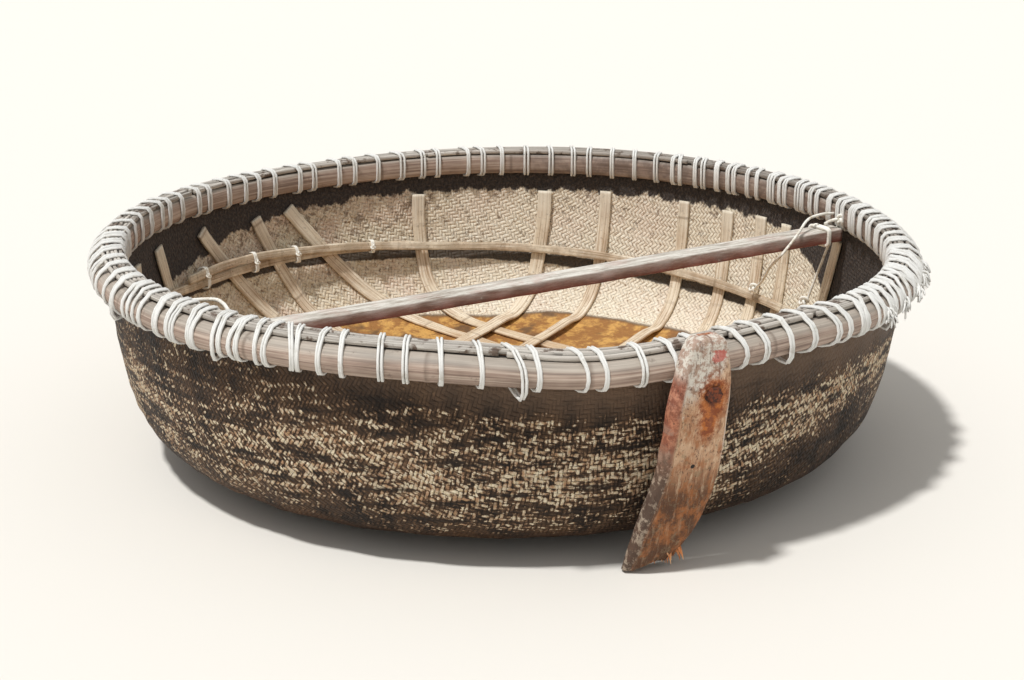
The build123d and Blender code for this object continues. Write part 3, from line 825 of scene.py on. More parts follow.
taper = thickness[:, None] * (1 - 0.35 * along**2)
frayed_ends = surface("frayed_ends", tube(settled(routes), taper, 4, facing=round_way(frayed_at)))
frayed_ends.data.materials.append(white_line)

# Ribs. Split-bamboo laths laid across the inside of the bowl in two layers, six one way and
# seven nearly square over them. Each runs straight over the bottom and then up the side, where
# it may lean, and its tips are tucked up below the rim.
rib_thickness = 0.008
rib_seat = 0.0008
crossing_gap = 0.0025
rib_step = 0.007
ease_start = 0.02
ease_length = 0.07
lath_joint_spacing = (0.22, 0.36)
lath_joint_half_width = 0.004
lath_bevel_power = 0.45
# Columns: CAD node, offset to the left of its heading, lean to the left in degrees at the end
# it heads for and at the end behind, stand off the side, drop of its tips below the rim's top,
# and the width that it was split to
cross_ribs = (
    ("cross_rib_1", -0.482, -5.0, 0.0, 0.0022, 0.110, 0.033),
    ("cross_rib_2", -0.396, 35.0, 5.0, 0.0024, 0.104, 0.034),
    ("cross_rib_3", -0.200, 22.0, 8.0, 0.0010, 0.112, 0.031),
    ("cross_rib_4", -0.110, 36.0, 4.0, 0.0016, 0.108, 0.034),
    ("cross_rib_5", 0.215, 15.0, -6.0, 0.0006, 0.105, 0.036),
    ("cross_rib_6", 0.420, 0.0, -6.0, 0.0018, 0.110, 0.034),
)
long_ribs = (
    ("long_rib_1", 0.378, 0.0, 0.0, 0.0012, 0.110, 0.036),
    ("long_rib_2", 0.228, 0.0, 0.0, 0.0006, 0.104, 0.030),
    ("long_rib_3", 0.012, 0.0, 0.0, 0.0, 0.108, 0.029),
    ("long_rib_4", -0.118, 0.0, 0.0, 0.0002, 0.112, 0.034),
    ("long_rib_5", -0.222, 0.0, 0.0, 0.0004, 0.107, 0.033),
    ("long_rib_6", -0.305, 0.0, 0.0, 0.0008, 0.110, 0.031),
    ("long_rib_7", -0.420, -12.0, 0.0, 0.0016, 0.098, 0.032),
)
# Columns: the laths of a layer, their heading, and how far the layer is lifted off the weave
rib_layers = ((cross_ribs, 111.6, 0.0), (long_ribs, 24.6, rib_thickness + crossing_gap))
upward = np.array([0, 0, 1.0])


def carried(route, facing, across, out):
    """Carry an outline along a route.

    Each point is the route's own, plus the outline's first number to the side, square to the
    route's run and to the way it faces, and its second number that way.
    """
    run = unit(np.gradient(route, axis=0))
    side = unit(np.cross(run, facing))
    out_way = np.cross(side, run)
    return route[:, None] + across[..., None] * side[:, None] + out[..., None] * out_way[:, None]


def evenly(values, route, spacing):
    """Rows of values read again at even steps of the distance along a route."""
    steps = np.linalg.norm(np.diff(route, axis=0), axis=-1)
    distance = np.concatenate([[0], np.cumsum(steps)])
    wanted = np.linspace(0, distance[-1], max(int(distance[-1] / spacing), 8) + 1)
    return np.stack([np.interp(wanted, distance, column) for column in values.T], -1)


def inward(turn, outward):
    """The way that the bowl's inside faces, where its section has turned to an angle."""
    return -np.cos(turn) * outward - np.sin(turn) * upward


def rib_route(heading, lift, offset, lean_ahead, lean_behind, stand, drop):
    """Middle line of a rib, and the way that its face looks.

    It follows the bowl's section at an inset, which goes from that of its layer to that of
    the side as the section leaves the dish. At a distance along the section the reach ahead
    is the root of the radius squared less the shift to the left squared. The shift is the
    offset, plus the lean's tangent times the height above the knee.
    """
    along = np.array([np.cos(radians(heading)), np.sin(radians(heading)), 0])
    left = np.array([-along[1], along[0], 0])
    length = np.linspace(0, skin_length, 900)
    eased = np.clip((length - stretch_ends[1] + ease_start) / ease_length, 0, 1)
    eased = eased * eased * (3 - 2 * eased)
    inset = wall + rib_seat + rib_thickness / 2 + lift * (1 - eased) + stand * eased
    radius, height, turn = section(length, inset)
    knee = np.interp(stretch_ends[1], length, height)
    low = height < rim_height - drop
    halves = []
    for end, lean in ((-1.0, lean_behind), (1.0, lean_ahead)):
        shift = offset + tan(radians(lean)) * np.maximum(height - knee, 0)
        reach = end * np.sqrt(np.maximum(radius**2 - shift**2, 0))
        fits = (radius > abs(offset) + 0.002) & low
        halves.append(np.stack([reach, shift, height, radius, turn], -1)[fits])
    behind, ahead = halves

    # Over the middle both halves are joined by a straight run on the offset
    start = ahead[0, 0]
    middle = np.linspace(-start, start, 160)[1:-1]
    middle_radius = np.hypot(middle, offset)
    middle_height, middle_turn = (
        np.interp(middle_radius, radius[low], values[low]) for values in (height, turn)
    )
    flat = np.stack([middle, 0 * middle + offset, middle_height, middle_radius, middle_turn], -1)
    line = np.concatenate([behind[::-1], flat, ahead])
    ways = np.array([along, left, upward])
    line = evenly(line, line[:, :3] @ ways, rib_step)
    route = line[:, :3] @ ways
    outward = route * [1, 1, 0] / np.maximum(np.hypot(route[:, 0], route[:, 1]), 1e-6)[:, None]
    return route, inward(line[:, 4:5], outward)


def lath(name, route, facing, width, thickness, seed, cad_node=None):
    """A split lath carried along a route: rough edges, a slight crown and proud joints."""
    lot = np.random.default_rng(seed)
    distance = np.linalg.norm(np.diff(route, axis=0, prepend=route[:1]), axis=-1).cumsum()
    joints = np.cumsum(lot.uniform(*lath_joint_spacing, 30)) - 0.2
    ring = sum(np.exp(-(((distance - joint) / lath_joint_half_width) ** 2)) for joint in joints)
    across, out = squared_oval(width, thickness, 12, lath_bevel_power)
    rough = uneven(distance[:, None], across * 2, 0.12, seed)
    ragged = uneven(distance[:, None], 0.3 * np.sign(across), 0.035, seed + 1)
    wide = across * (1 + 0.05 * rough + 0.015 * ragged)
    thick = out * (1 + 0.22 * ring[:, None]) + 0.0006 * rough * (out > 0)
    piece = surface(name, settled(carried(route, facing, wide, thick)), marks={"joint": ring[:, None]})
    if cad_node:
        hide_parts(cad_node)
    return piece


def lath_bamboo(tree):
    """Dry split bamboo: pale straw, streaked along the grain, bleached at the tips, dirty low down."""
    place = place_of(tree)
    height = parts_of(place)[2]
    streaks = cloud(run_of(tree), 120.0, stretch=(0.05, 2.0, 1), detail=5.0, rough=0.7)
    patches = cloud(place, 14.0, detail=4.0)
    grit = cloud(place, 130.0, detail=4.0, rough=0.7)
    colour = coated(
        (220, 204, 178),
        (rising(patches, 0.35, 0.66), 1, (192, 168, 140)),
        (rising(streaks, 0.46, 0.68), 1, (238, 228, 208)),
        (rising(streaks, 0.46, 0.32), 1, (140, 112, 82)),
        (rising(grit, 0.58, 0.68), 0.6, (110, 88, 68)),
        (rising(height, 0.24, 0.36), 0.45, (228, 222, 206)),
        (rising(weighed(height, (patches, 0.02)), 0.07, 0.03), 0.45, (176, 132, 76)),
        (rising(mark_of(tree, "joint"), 0.2, 0.9), 0.5, (112, 86, 60)),
    )
    return colour, 0.7, weighed(streaks, (grit, 0.3)), 0.0010


dry_lath = finish("lath_bamboo", lath_bamboo)
for ribs, rib_heading, lift in rib_layers:
    for number, (cad_node, offset, ahead, behind, stand, drop, width) in enumerate(ribs):
        route, facing = rib_route(rib_heading, lift, offset, ahead, behind, stand, drop)
        rib = lath(cad_node + "_lath", route, facing, width, rib_thickness, 50 + number, cad_node)
        rib.data.materials.append(dry_lath)

# Wall hoop. One long lath sprung round the inside, bearing on the ribs half way up the side.
# It hangs lower on one side. Its last stretch steps in over its start, and cord binds the lap.
hoop_width = 0.021
hoop_thickness = 0.009
hoop_stand = 0.0058
hoop_start = 75.0
hoop_lap = 52.5
step_start = 345.0
step_length = 15.0
lap_gap = 0.0008
lap_spread = 0.012
lap_middle = 118.0


def wall_place(headings, height, inset):
    """Places on the bowl's inside at headings and heights, and the way that its face looks there."""
    length = np.linspace(stretch_ends[1], skin_length, 500)
    radius, level, turn = section(length, inset)
    radius, turn = (np.interp(height, level, values) for values in (radius, turn))
    outward = np.stack([np.cos(headings), np.sin(headings), 0 * headings], -1)
    return round_boat(radius, headings, height), inward(turn[:, None], outward)


def wall_hoop_route(degrees, laid_over):
    """Middle of the wall hoop at headings. Where its ends lap, they spread apart up and down."""
    turn = np.radians(degrees)
    apart = np.where(laid_over > 0.5 * hoop_thickness, lap_spread, -lap_spread)
    height = hoop_line(turn) + apart * bell(degrees, lap_middle, 24)
    inset = wall + rib_seat + rib_thickness + hoop_stand + hoop_thickness / 2
    place, facing = wall_place(turn, height, inset)
    return place + facing * laid_over[:, None], facing


degrees = np.arange(hoop_start, hoop_start + 360 + hoop_lap, 0.5)
step_in = np.clip((degrees - hoop_start - step_start) / step_length, 0, 1)
route, facing = wall_hoop_route(degrees, step_in * (hoop_thickness + lap_gap))
wall_lath = lath("wall_hoop_lath", route, facing, hoop_width, hoop_thickness, 62, "wall_hoop")


def old_lath(tree):
    """The same bamboo, but older: browned and greyed all over."""
    colour, rough, height, depth = lath_bamboo(tree)
    age = rising(cloud(place_of(tree), 24.0, detail=4.0, rough=0.7), 0.36, 0.64)
    aged = mixed(weighed(0.05, (age, 0.40)), colour, (120, 96, 66))
    return aged, rough, height, depth


wall_lath.data.materials.append(finish("old_lath", old_lath))

# Ties of the wall hoop. At four places along the lap, three turns of white cord bind the two ends
# of the lath on each other, and the middle turn carries the lump of a knot.
hoop_cord_radius = 0.0020
tie_headings = (84.0, 99.5, 109.0, 122.0)
lap_radius = 0.8
tie_corner_power = 0.55
hoop_knot_size = 0.0062
# Shift of each turn along the hoop from the middle one, in metres
turn_shifts = (-0.0032, 0.0, 0.0034)


def rope(route, radius, lay, facing=(0, 0, 1), closed=False, sides=12, strands=3):
    """Laid cord along a route: the outline bulges as a cosine of its strands, and turns as it
    runs, once in each lay."""
    route = np.asarray(route, float)
    distance = np.linalg.norm(np.diff(route, axis=0, prepend=route[:1]), axis=-1).cumsum()
    turn = full_turn(sides)
    laid = turn[None] - 2 * pi * distance[:, None] / lay
    full = radius * (0.90 + 0.14 * np.abs(np.cos(laid * strands / 2)))
    return rings(route, full, closed, facing)


def smooth_route(corners, spacing):
    """Even points on a curve through corners: a Catmull-Rom curve, which is a cubic in each
    stretch, whose slope at a corner is half the way between the corners on both sides."""
    corners = np.asarray(corners, float)
    before, after = 2 * corners[0] - corners[1], 2 * corners[-1] - corners[-2]
    padded = np.concatenate([[before], corners, [after]])
    share = np.linspace(0, 1, 16, endpoint=False)[:, None]
    a, b, c, d = padded[:-3, None], padded[1:-2, None], padded[2:-1, None], padded[3:, None]
    slope = (c - a) / 2
    bend = a - 2.5 * b + 2 * c - d / 2
    twist = 1.5 * (b - c) + (d - a) / 2
    curve = b + share * slope + share**2 * bend + share**3 * twist
    curve = np.concatenate([curve.reshape(-1, 3), corners[-1:]])
    return evenly(curve, curve, spacing)


def knot(middle, first, second, size, radius):
    """A lump of cord: a closed curve that goes twice round while it weaves three times in and
    out, as a trefoil does, in the plane of two ways."""
    turn = full_turn(60)
    third = np.cross(first, second)
    ring = size * (0.62 + 0.38 * np.cos(3 * turn))
    line = (ring * np.cos(2 * turn))[:, None] * first + (ring * np.sin(2 * turn))[:, None] * second
    line = line + (0.55 * size * np.sin(3 * turn))[:, None] * third
    return tube(np.asarray(middle) + line, radius, 8, True, third + 0.31 * np.asarray(first))


# Each turn is a squared ring round both ends of the lath
lot = np.random.default_rng(71)
half_lap = (hoop_thickness + lap_gap) / 2 + hoop_thickness / 2
turn = full_turn(36)
cord_turns = []
knots = []
for heading in tie_headings:
    sideways = np.array([-np.sin(radians(heading)), np.cos(radians(heading)), 0])
    for shift in turn_shifts:
        at = np.array([heading + np.degrees(shift / lap_radius)])
        below, facing = wall_hoop_route(at, np.array([0.0]))
        above, _ = wall_hoop_route(at, np.array([hoop_thickness + lap_gap]))
        middle = (below[0] + above[0]) / 2
        inwards = facing[0]
        up_wall = np.cross(inwards, sideways)
        up_wall = up_wall * np.sign(up_wall[2])
        half_height = abs(above[0, 2] - below[0, 2]) / 2 + hoop_width / 2
        wide = (half_lap + hoop_cord_radius * 1.1) * squared(np.cos(turn), tie_corner_power)
        tall = (half_height + hoop_cord_radius * 1.3) * squared(np.sin(turn), tie_corner_power)
        lean = lot.normal(0, 0.002) * np.sin(turn + lot.uniform(0, 6))
        ring = middle + wide[:, None] * inwards + tall[:, None] * up_wall + lean[:, None] * sideways
        cord_turns.append(tube(settled(ring), hoop_cord_radius, 8, True, sideways))
        if shift == 0.0:
            front = middle + inwards * (half_lap + 0.004) + up_wall * lot.uniform(-0.006, 0.010)
            knots.append(knot(settled(front), sideways, up_wall, hoop_knot_size, hoop_cord_radius))
hoop_cords = surface("wall_hoop_cords", np.stack(cord_turns), closed_rows=True)
hoop_knots = surface("wall_hoop_knots", np.stack(knots), closed_rows=True)


def laid_cord(tree):
    """Old white cord: off-white fibres, greyed and browned by dirt."""
    fibres = cloud(run_of(tree), 420.0, stretch=(0.3, 1.5, 1), detail=4.0, rough=0.7)
    dirt = cloud(place_of(tree), 40.0, detail=4.0, rough=0.7)
    colour = coated(
        (242, 239, 229),
        (rising(dirt, 0.50, 0.74), 1, (190, 176, 152)),
        (rising(fibres, 0.5, 0.75), 0.4, (166, 154, 134)),
    )
    return colour, 0.85, fibres, 0.0009


old_cord = finish("old_cord", laid_cord)
for piece in (hoop_cords, hoop_knots):
    piece.data.materials.append(old_cord)
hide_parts("wall_hoop_ties")

# Thwart. A sawn timber bar across the bowl, deeper at its right end, once painted red-brown.
# Its top is bleached grey and its paint is worn off the edges. It only hangs in its cords.
thwart_left = -0.7495
thwart_right = 0.8046
thwart_top = 0.398
thwart_y = -0.167
thwart_width = 0.054
thwart_depth = 0.025
thwart_deepening = 0.007
thwart_bow = 0.0022
thwart_sway = 0.0015
edge_wear = 0.045


def depth_at(x):
    """Depth of the thwart at a place along it: it grows evenly from the left end to the right."""
    return thwart_depth + thwart_deepening * (x - thwart_left) / (thwart_right - thwart_left)


thwart_share = np.linspace(0, 1, 240)[:, None]
thwart_x = thwart_left + (thwart_right - thwart_left) * thwart_share
across, out = squared_oval(1.0, 1.0, 20, 0.16)
edge = np.clip(np.abs(across) + np.abs(out) - 0.8, 0, 0.2) / 0.2
chips = uneven(thwart_x, 3 * across + 2 * out, 0.09, 81)
worn = 1 - edge_wear * edge * (0.6 + 0.6 * chips)
wide = across * thwart_width * worn * (1 + 0.02 * uneven(thwart_x, 0, 0.5, 82))
tall = out * depth_at(thwart_x) * worn
middle = thwart_top - depth_at(thwart_x) / 2 - thwart_bow * np.sin(thwart_share * pi)
y = thwart_y + wide + thwart_sway * uneven(thwart_x, 0, 0.8, 83)
thwart_points = np.stack([thwart_x + 0 * wide, y, middle + tall], -1)
thwart_marks = {"top": np.clip((out - 0.25) / 0.2, 0, 1), "edge": edge}
thwart_bar = surface("thwart_bar", thwart_points, marks=thwart_marks)


def worn_paint(tree):
    """Red-brown paint over grey timber: gone from the top and the edges, flaking along the sides."""
    place = place_of(tree)
    grain = cloud(place, 90.0, stretch=(0.13, 1, 1), detail=6.0, rough=0.75)
    fine = cloud(place, 420.0, stretch=(0.10, 1, 1), detail=4.0, rough=0.7)
    patches = cloud(place, 22.0, stretch=(0.7, 1, 1), detail=6.0, rough=0.72)
    top = mark_of(tree, "top")
    timber = coated(
        (172, 164, 152),
        (rising(grain, 0.4, 0.64), 1, (222, 218, 208)),
        (rising(grain, 0.46, 0.32), 1, (128, 112, 98)),
    )
    paint = coated(
        (150, 90, 78),
        (rising(patches, 0.4, 0.66), 1, (112, 72, 62)),
        (rising(fine, 0.5, 0.7), 1, (168, 120, 104)),
    )
    flaking = weighed(0.0, (grain, 0.35), (patches, 0.9), (mark_of(tree, "edge"), 0.10))
    gone = calc("MAXIMUM", rising(flaking, 0.76, 0.90), top)
    colour = coated(
        paint,
        (gone, 1, timber),
        (times(top, rising(patches, 0.48, 0.7)), 0.45, (176, 140, 128)),
    )
    return colour, 0.72, weighed(fine, (grain, 0.7), (gone, -0.5)), 0.0010


thwart_bar.data.materials.append(finish("worn_red_paint", worn_paint))
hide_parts("thwart")

# Thwart's cords. Laid white cord is turned round each end of the bar and made fast to the rim.
# On the right it also comes down both sides of the bar to the wall hoop, which holds it down.
tie_cord_radius = 0.0040
leg_cord_radius = 0.8 * tie_cord_radius
lay_length = 0.020
left_x = -0.7095
right_x = 0.7646
turn_pitch = 0.0085
turn_corner_power = 0.32
turn_rings = 82
ring_spacing = 0.0022
bar_top = thwart_top + tie_cord_radius


def round_bar(x, lean):
    """One turn of cord round the thwart at a place along it: a squared-off oval."""
    turn = full_turn(90)
    y = (thwart_width / 2 + tie_cord_radius * 0.95) * squared(np.cos(turn), turn_corner_power)
    z = (depth_at(x) / 2 + tie_cord_radius * 0.95) * squared(np.sin(turn), turn_corner_power)
    return np.stack([x + lean * np.cos(turn), thwart_y + y, thwart_top - depth_at(x) / 2 + z], -1)


def cord_piece(name, grids, cad_node=None, closed=False):
    """Cords of one size and one number of rows, in old white cord."""
    piece = surface(name, grids, closed_rows=closed)
    piece.data.materials.append(old_cord)
    if cad_node:
        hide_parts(cad_node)


# Columns: name, CAD node, spacing of the rings, and the place and lean of each turn of cord
bar_turns = (
    ("left_bar_turns", "thwart_tie_left", ring_spacing, (
        (left_x, 0.003), (left_x + turn_pitch, -0.002),
    )),
    ("right_bar_turns", "thwart_tie_right", 0.0024, (
        (right_x, 0.002), (right_x - turn_pitch, -0.003),
    )),
)
for name, cad_node, spacing, places in bar_turns:
    turns = []
    for loop in (round_bar(x, lean) for x, lean in places):
        even = evenly(loop, loop, spacing)[:turn_rings]
        turns.append(rope(even, tie_cord_radius, lay_length, (1, 0, 0), True))
    cord_piece(name, np.stack(turns), cad_node, True)

# Columns: name, radius of the cord, and the corners that it runs through
cord_runs = (
    ("left_run_to_rim", tie_cord_radius, (
        (-0.7130, -0.1900, 0.4030), (-0.7145, -0.1670, 0.4085), (-0.7221, -0.1500, 0.4218),
        (-0.7243, -0.1200, 0.4360), (-0.7364, -0.0950, 0.4400), (-0.7831, -0.0600, 0.4347),
        (-0.8260, -0.0300, 0.4240),
    )),
    ("left_run_beside", tie_cord_radius, (
        (left_x, thwart_y + 0.010, bar_top + 0.004), (-0.745, -0.176, 0.412),
        (-0.785, -0.186, 0.420), (-0.803, -0.190, 0.4225),
    )),
    ("right_run_to_rim", tie_cord_radius, (
        (right_x, thwart_y - 0.010, bar_top + 0.009), (0.784, -0.176, 0.4155),
        (0.805, -0.184, 0.4205),
    )),
    ("right_leg_before", leg_cord_radius, (
        (0.8150, -0.150, 0.4240), (0.7800, -0.154, 0.4280), (0.7400, -0.160, 0.4270),
        (0.7160, -0.168, 0.4220), (0.6900, -0.184, 0.4140), (0.6640, -0.2010, 0.4055),
        (0.6450, -0.2045, 0.3900), (0.6230, -0.2045, 0.3700), (0.6150, -0.1980, 0.3560),
        (0.6420, -0.130, 0.310), (0.7000, -0.035, 0.248), (0.7720, 0.086, 0.184),
    )),
    ("right_leg_behind", leg_cord_radius, (
        (0.8095, -0.186, 0.421), (0.803, -0.160, 0.372), (0.797, -0.128, 0.290), (0.785, -0.098, 0.195),
    )),
)
for name, radius, corners in cord_runs:
    route = smooth_route(corners, ring_spacing)
    cord_piece(name, rope(route, radius, lay_length, (0.12, 0.33, 0.94)))

# Columns: middle of the knot, the level way in which it lies, its size and its cord's radius
knot_places = (
    ((left_x + 0.002, thwart_y - 0.033, thwart_top - 0.004), (1, 0, 0), 0.012, 0.0036),
    ((-0.8215, -0.032, 0.424), (0, 1, 0), 0.011, 0.0036),
    ((0.8050, -0.186, 0.418), (0, 1, 0), 0.012, 0.0036),
    ((0.7700, 0.084, 0.190), (0, 1, 0), 0.012, 0.0034),
    ((0.7800, -0.096, 0.200), (0, 1, 0), 0.012, 0.0034),
)
knots = [knot(middle, np.array(way), upward, size, radius) for middle, way, size, radius in knot_places]
cord_piece("thwart_knots", np.stack(knots), closed=True)

# Stern board. A curved timber leans on the outer hoop and stands clear of the bilge, narrowing
# to a rounded top. It is bare and red-stained, its foot is broken away, and one bolt holds it.
board_heading = radians(-98.0)
board_lean = 0.9003
board_thickness = 0.038
board_top = 0.484
crown_start = 0.468
board_foot = 0.005
bilge_clearance = 0.024
foot_reach = 0.050
straight_rows = 190
crown_rows = 14
bevel_depth = 0.020
groove_depth = 0.0011
jag_height = 0.030
break_top = 0.075
# Columns: height, left edge and right edge, to the right of the board's heading
board_stations = np.array([
    (0.000, -0.114, -0.012), (0.060, -0.107, 0.006), (0.110, -0.098, 0.026), (0.160, -0.086, 0.040),
    (0.215, -0.075, 0.047), (0.290, -0.071, 0.047), (0.370, -0.070, 0.045), (0.440, -0.056, 0.040),
    (0.484, -0.036, 0.028),
])
board_out = np.array([cos(board_heading), sin(board_heading), 0.0])
board_right = np.array([-board_out[1], board_out[0], 0.0])
board_ways = np.array([board_out, board_right, upward])


def through(first, second, third):
    """Middle and radius of the circle through three points of the board's side view. Its middle
    is as far from the first point as from each of the others."""
    first, second, third = np.array([first, second, third])
    chords = np.array([second - first, third - first])
    squares = np.array([second @ second, third @ third]) - first @ first
    middle = np.linalg.solve(2 * chords, squares)
    return middle[0], middle[1], np.hypot(*(first - middle))


# The board's inner face is an arc from the foot, past the bilge, to the lower edge of the outer
# hoop. Above that it is straight. An average over 15 rows rounds the bends of edges and face.
hoop_bottom = hoop_top - outer_hoop_height
board_middle = (board_foot + hoop_bottom) / 2
bowl_radius, bowl_height, _ = section(np.linspace(stretch_ends[1], skin_length, 400), 0.0)
middle_out = np.interp(board_middle, bowl_height, bowl_radius) + bilge_clearance
foot_out = middle_out - foot_reach
arc_x, arc_y, arc_radius = through(
    (foot_out, board_foot), (middle_out, board_middle), (board_lean, hoop_bottom)
)
crown_turn = np.linspace(0.08, pi / 2, crown_rows)
board_high = np.concatenate([
    np.linspace(board_foot, crown_start, straight_rows),
    crown_start + (board_top - crown_start) * np.sin(crown_turn),
])
closing_turn = np.linspace(0.08, pi / 2 - 0.02, crown_rows)
closing = np.concatenate([np.ones(straight_rows), np.cos(closing_turn) ** 0.55])[:, None]
bend = np.sqrt(np.maximum(arc_radius**2 - (board_high - arc_y) ** 2, 0)) + arc_x
inner_face = np.where(board_high < hoop_bottom, bend, board_lean)
left_edge, right_edge = (np.interp(board_high, board_stations[:, 0], board_stations[:, k]) for k in (1, 2))
for line in (left_edge, right_edge, inner_face):
    line[7:-7] = np.convolve(line, np.ones(15) / 15, "valid")
inner_face = np.maximum(inner_face, np.where(board_high > hoop_bottom - 0.004, board_lean, 0))

# The left of the outer face is bevelled towards the foot, and shallow grooves run up the face.
# At the foot the right side has broken off in jags.
high = board_high[:, None]
across, out = squared_oval(1.0, 1.0, 56, 0.30)
half = ((right_edge - left_edge) / 2)[:, None] * (0.55 + 0.45 * closing)
thinned = np.interp(high, [0, 0.05, 0.12, 0.5], [0.72, 0.9, 1.0, 1.0])
thick = board_thickness * (0.35 + 0.65 * closing) * thinned
bevel = np.clip((across + 0.18) / 0.5, -1, 0) ** 2 * np.clip((0.40 - high) / 0.3, 0, 1)
grooves = uneven(high * 0.10, across * 0.10, 0.016, 91) * np.clip((0.46 - high) / 0.1, 0, 1)
ripple = 1 + 0.012 * uneven(high, 0.2 * out, 0.07, 92)
side = ((right_edge + left_edge) / 2)[:, None] + 2 * half * across * ripple
cut = (out > 0) * (bevel_depth * bevel + groove_depth * grooves)
face = inner_face[:, None] + thick * (0.5 + out) - cut
broken = np.clip((break_top - high) / 0.07, 0, 1) * (0.5 + across)
height = high + jag_height * broken * (0.7 + 0.5 * uneven(across * 0.10, out * 0.02, 0.018, 93))
board_points = np.stack([face, side, height], -1) @ board_ways
board_marks = {"side": side, "flank": np.clip((-across - 0.34) * 16, 0, 1), "rise": height}
board = surface("stern_board_timber", board_points, marks=board_marks)


def old_board(tree):
    """Weathered board: grey-white top, beige grain, darker orange-brown foot, mottled all over.

    Rust spreads round the bolt and runs down from it. The left flank is stained red high up
    and flaking grey and black lower down.
    """
    place = place_of(tree)
    side = mark_of(tree, "side")
    rise = mark_of(tree, "rise")
    flank = mark_of(tree, "flank")
    local = fed("CombineXYZ", {0: side, 1: rise, 2: flank}).outputs[0]
    grain = cloud(local, 110.0, stretch=(1, 0.16, 0.02), detail=6.0, rough=0.75)
    patches = cloud(local, 24.0, stretch=(1, 0.7, 0.1), detail=5.0, rough=0.7)
    blots = cloud(place, 70.0, detail=5.0, rough=0.75)
    flecks = cloud(place, 190.0, stretch=(1, 1, 0.5), detail=4.0, rough=0.75)

    def spot(x, z, wide, tall):
        """Bell-shaped spot on the board's face: 1 at a place and 0 a few sizes away."""
        dx = calc("DIVIDE", calc("SUBTRACT", side, x), wide)
        dz = calc("DIVIDE", calc("SUBTRACT", rise, z), tall)
        total = calc("ADD", times(dx, dx), times(dz, dz))
        return calc("EXPONENT", times(total, -1.0))

    def ragged(value, amount, ragger=blots):
        """A value whose level lines wander with the blots, or with other noise."""
        return weighed(value, (calc("SUBTRACT", ragger, 0.5), amount))

    down = ragged(rise, 0.16, patches)
    upper = weighed(down, (side, -0.8))
    middle = mixed(rising(patches, 0.38, 0.60), (206, 170, 138), (170, 116, 78))
    foot = mixed(rising(patches, 0.40, 0.56), (154, 94, 48), (86, 54, 31))
    pale = mixed(rising(blots, 0.44, 0.56), (214, 207, 194), (172, 146, 130))
    rust = mixed(rising(blots, 0.42, 0.58), (188, 106, 38), (136, 64, 24))
    flaked = mixed(rising(blots, 0.49, 0.60), (78, 61, 50), (164, 148, 130))
    red = coated(
        (184, 118, 88),
        (rising(blots, 0.42, 0.56), 1, (134, 70, 48)),
        (rising(patches, 0.50, 0.62), 1, (160, 124, 106)),
    )
    flank_colour = coated(
        flaked,
        (rising(ragged(rise, 0.16), 0.20, 0.30), 1, red),
        (rising(ragged(rise, 0.05), 0.400, 0.425), 1, pale),
    )
    pale_grain = weighed(0.2, (rising(down, 0.13, 0.25), 0.5))
    stain = calc("MAXIMUM", spot(0.007, 0.368, 0.036, 0.050), spot(0.004, 0.320, 0.023, 0.040))
    rusted = ragged(spot(0.005, 0.374, 0.026, 0.030), 0.9)
    red_patch = ragged(spot(0.014, 0.449, 0.019, 0.015), 1.8)
    # Painted highlight: a pale line up the board's right edge
    edge_highlight = times(rising(ragged(side, 0.010), 0.040, 0.044), rising(rise, 0.20, 0.28))
    # Painted shade: a small hole, made nearly black inside
    hole_shade = rising(spot(-0.015, 0.229, 0.0048, 0.0048), 0.35, 0.6)
    colour = coated(
        foot,
        (rising(down, 0.16, 0.25), 1, middle),
        (times(rising(grain, 0.50, 0.64), pale_grain), 1, (226, 200, 168)),
        (rising(upper, 0.375, 0.43), 1, pale),
        (rising(blots, 0.55, 0.63), 0.5, (140, 124, 96)),
        (rising(grain, 0.46, 0.36), 0.7, (108, 70, 48)),
        (rising(ragged(stain, 1.5), 0.26, 0.70), 0.92, rust),
        (rising(rusted, 0.45, 0.8), 0.85, (82, 38, 22)),
        (rising(red_patch, 0.45, 0.65), 0.8, (190, 92, 80)),
        (edge_highlight, 0.6, (226, 216, 204)),
        (flank, 0.9, flank_colour),
        (rising(flecks, 0.57, 0.64), 0.75, (70, 46, 34)),
        (hole_shade, 1, (28, 20, 16)),
    )
    return colour, 0.78, weighed(grain, (flecks, 0.5), (blots, 0.6), (hole_shade, -1.5)), 0.0018


board.data.materials.append(finish("old_board", old_board))
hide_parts("stern_board")

# Splintered foot. Where the board's foot has broken, fresh orange wood stands out in slivers.
sliver_count = 16
sliver_root = 0.046
sliver_radius = 0.0052
lot = np.random.default_rng(95)
along = np.linspace(0, 1, 12)
root, reach, depth, aside, size = (
    values[:, None] for values in (
        np.linspace(-0.046, -0.004, sliver_count) + lot.normal(0, 0.002, sliver_count),
        lot.uniform(0.014, 0.040, sliver_count),
        lot.uniform(0, 0.022, sliver_count),
        lot.normal(0, 0.004, sliver_count),
        lot.uniform(0.6, 1.2, sliver_count),
    )
)
sliver_out = foot_out + 0.006 + depth + 0.012 * along
sliver_height = sliver_root - reach * along + 0.003 * np.sin(3 * along)
routes = np.stack([sliver_out, root + aside * along, sliver_height], -1) @ board_ways
taper = size * (sliver_radius * (1 - along**1.6) + 0.0004)
slivers = surface("splintered_foot", tube(routes, taper, 6, facing=board_right))


def fresh_break(tree):
    """Newly broken wood: bright orange, paler along its fibres."""
    fibres = cloud(place_of(tree), 160.0, stretch=(1, 1, 0.12), detail=5.0, rough=0.7)
    colour = coated(
        (206, 116, 52),
        (rising(fibres, 0.38, 0.66), 1, (240, 196, 148)),
        (rising(fibres, 0.44, 0.32), 1, (120, 62, 32)),
    )
    return colour, 0.8, fibres, 0.0014


slivers.data.materials.append(finish("fresh_break", fresh_break))

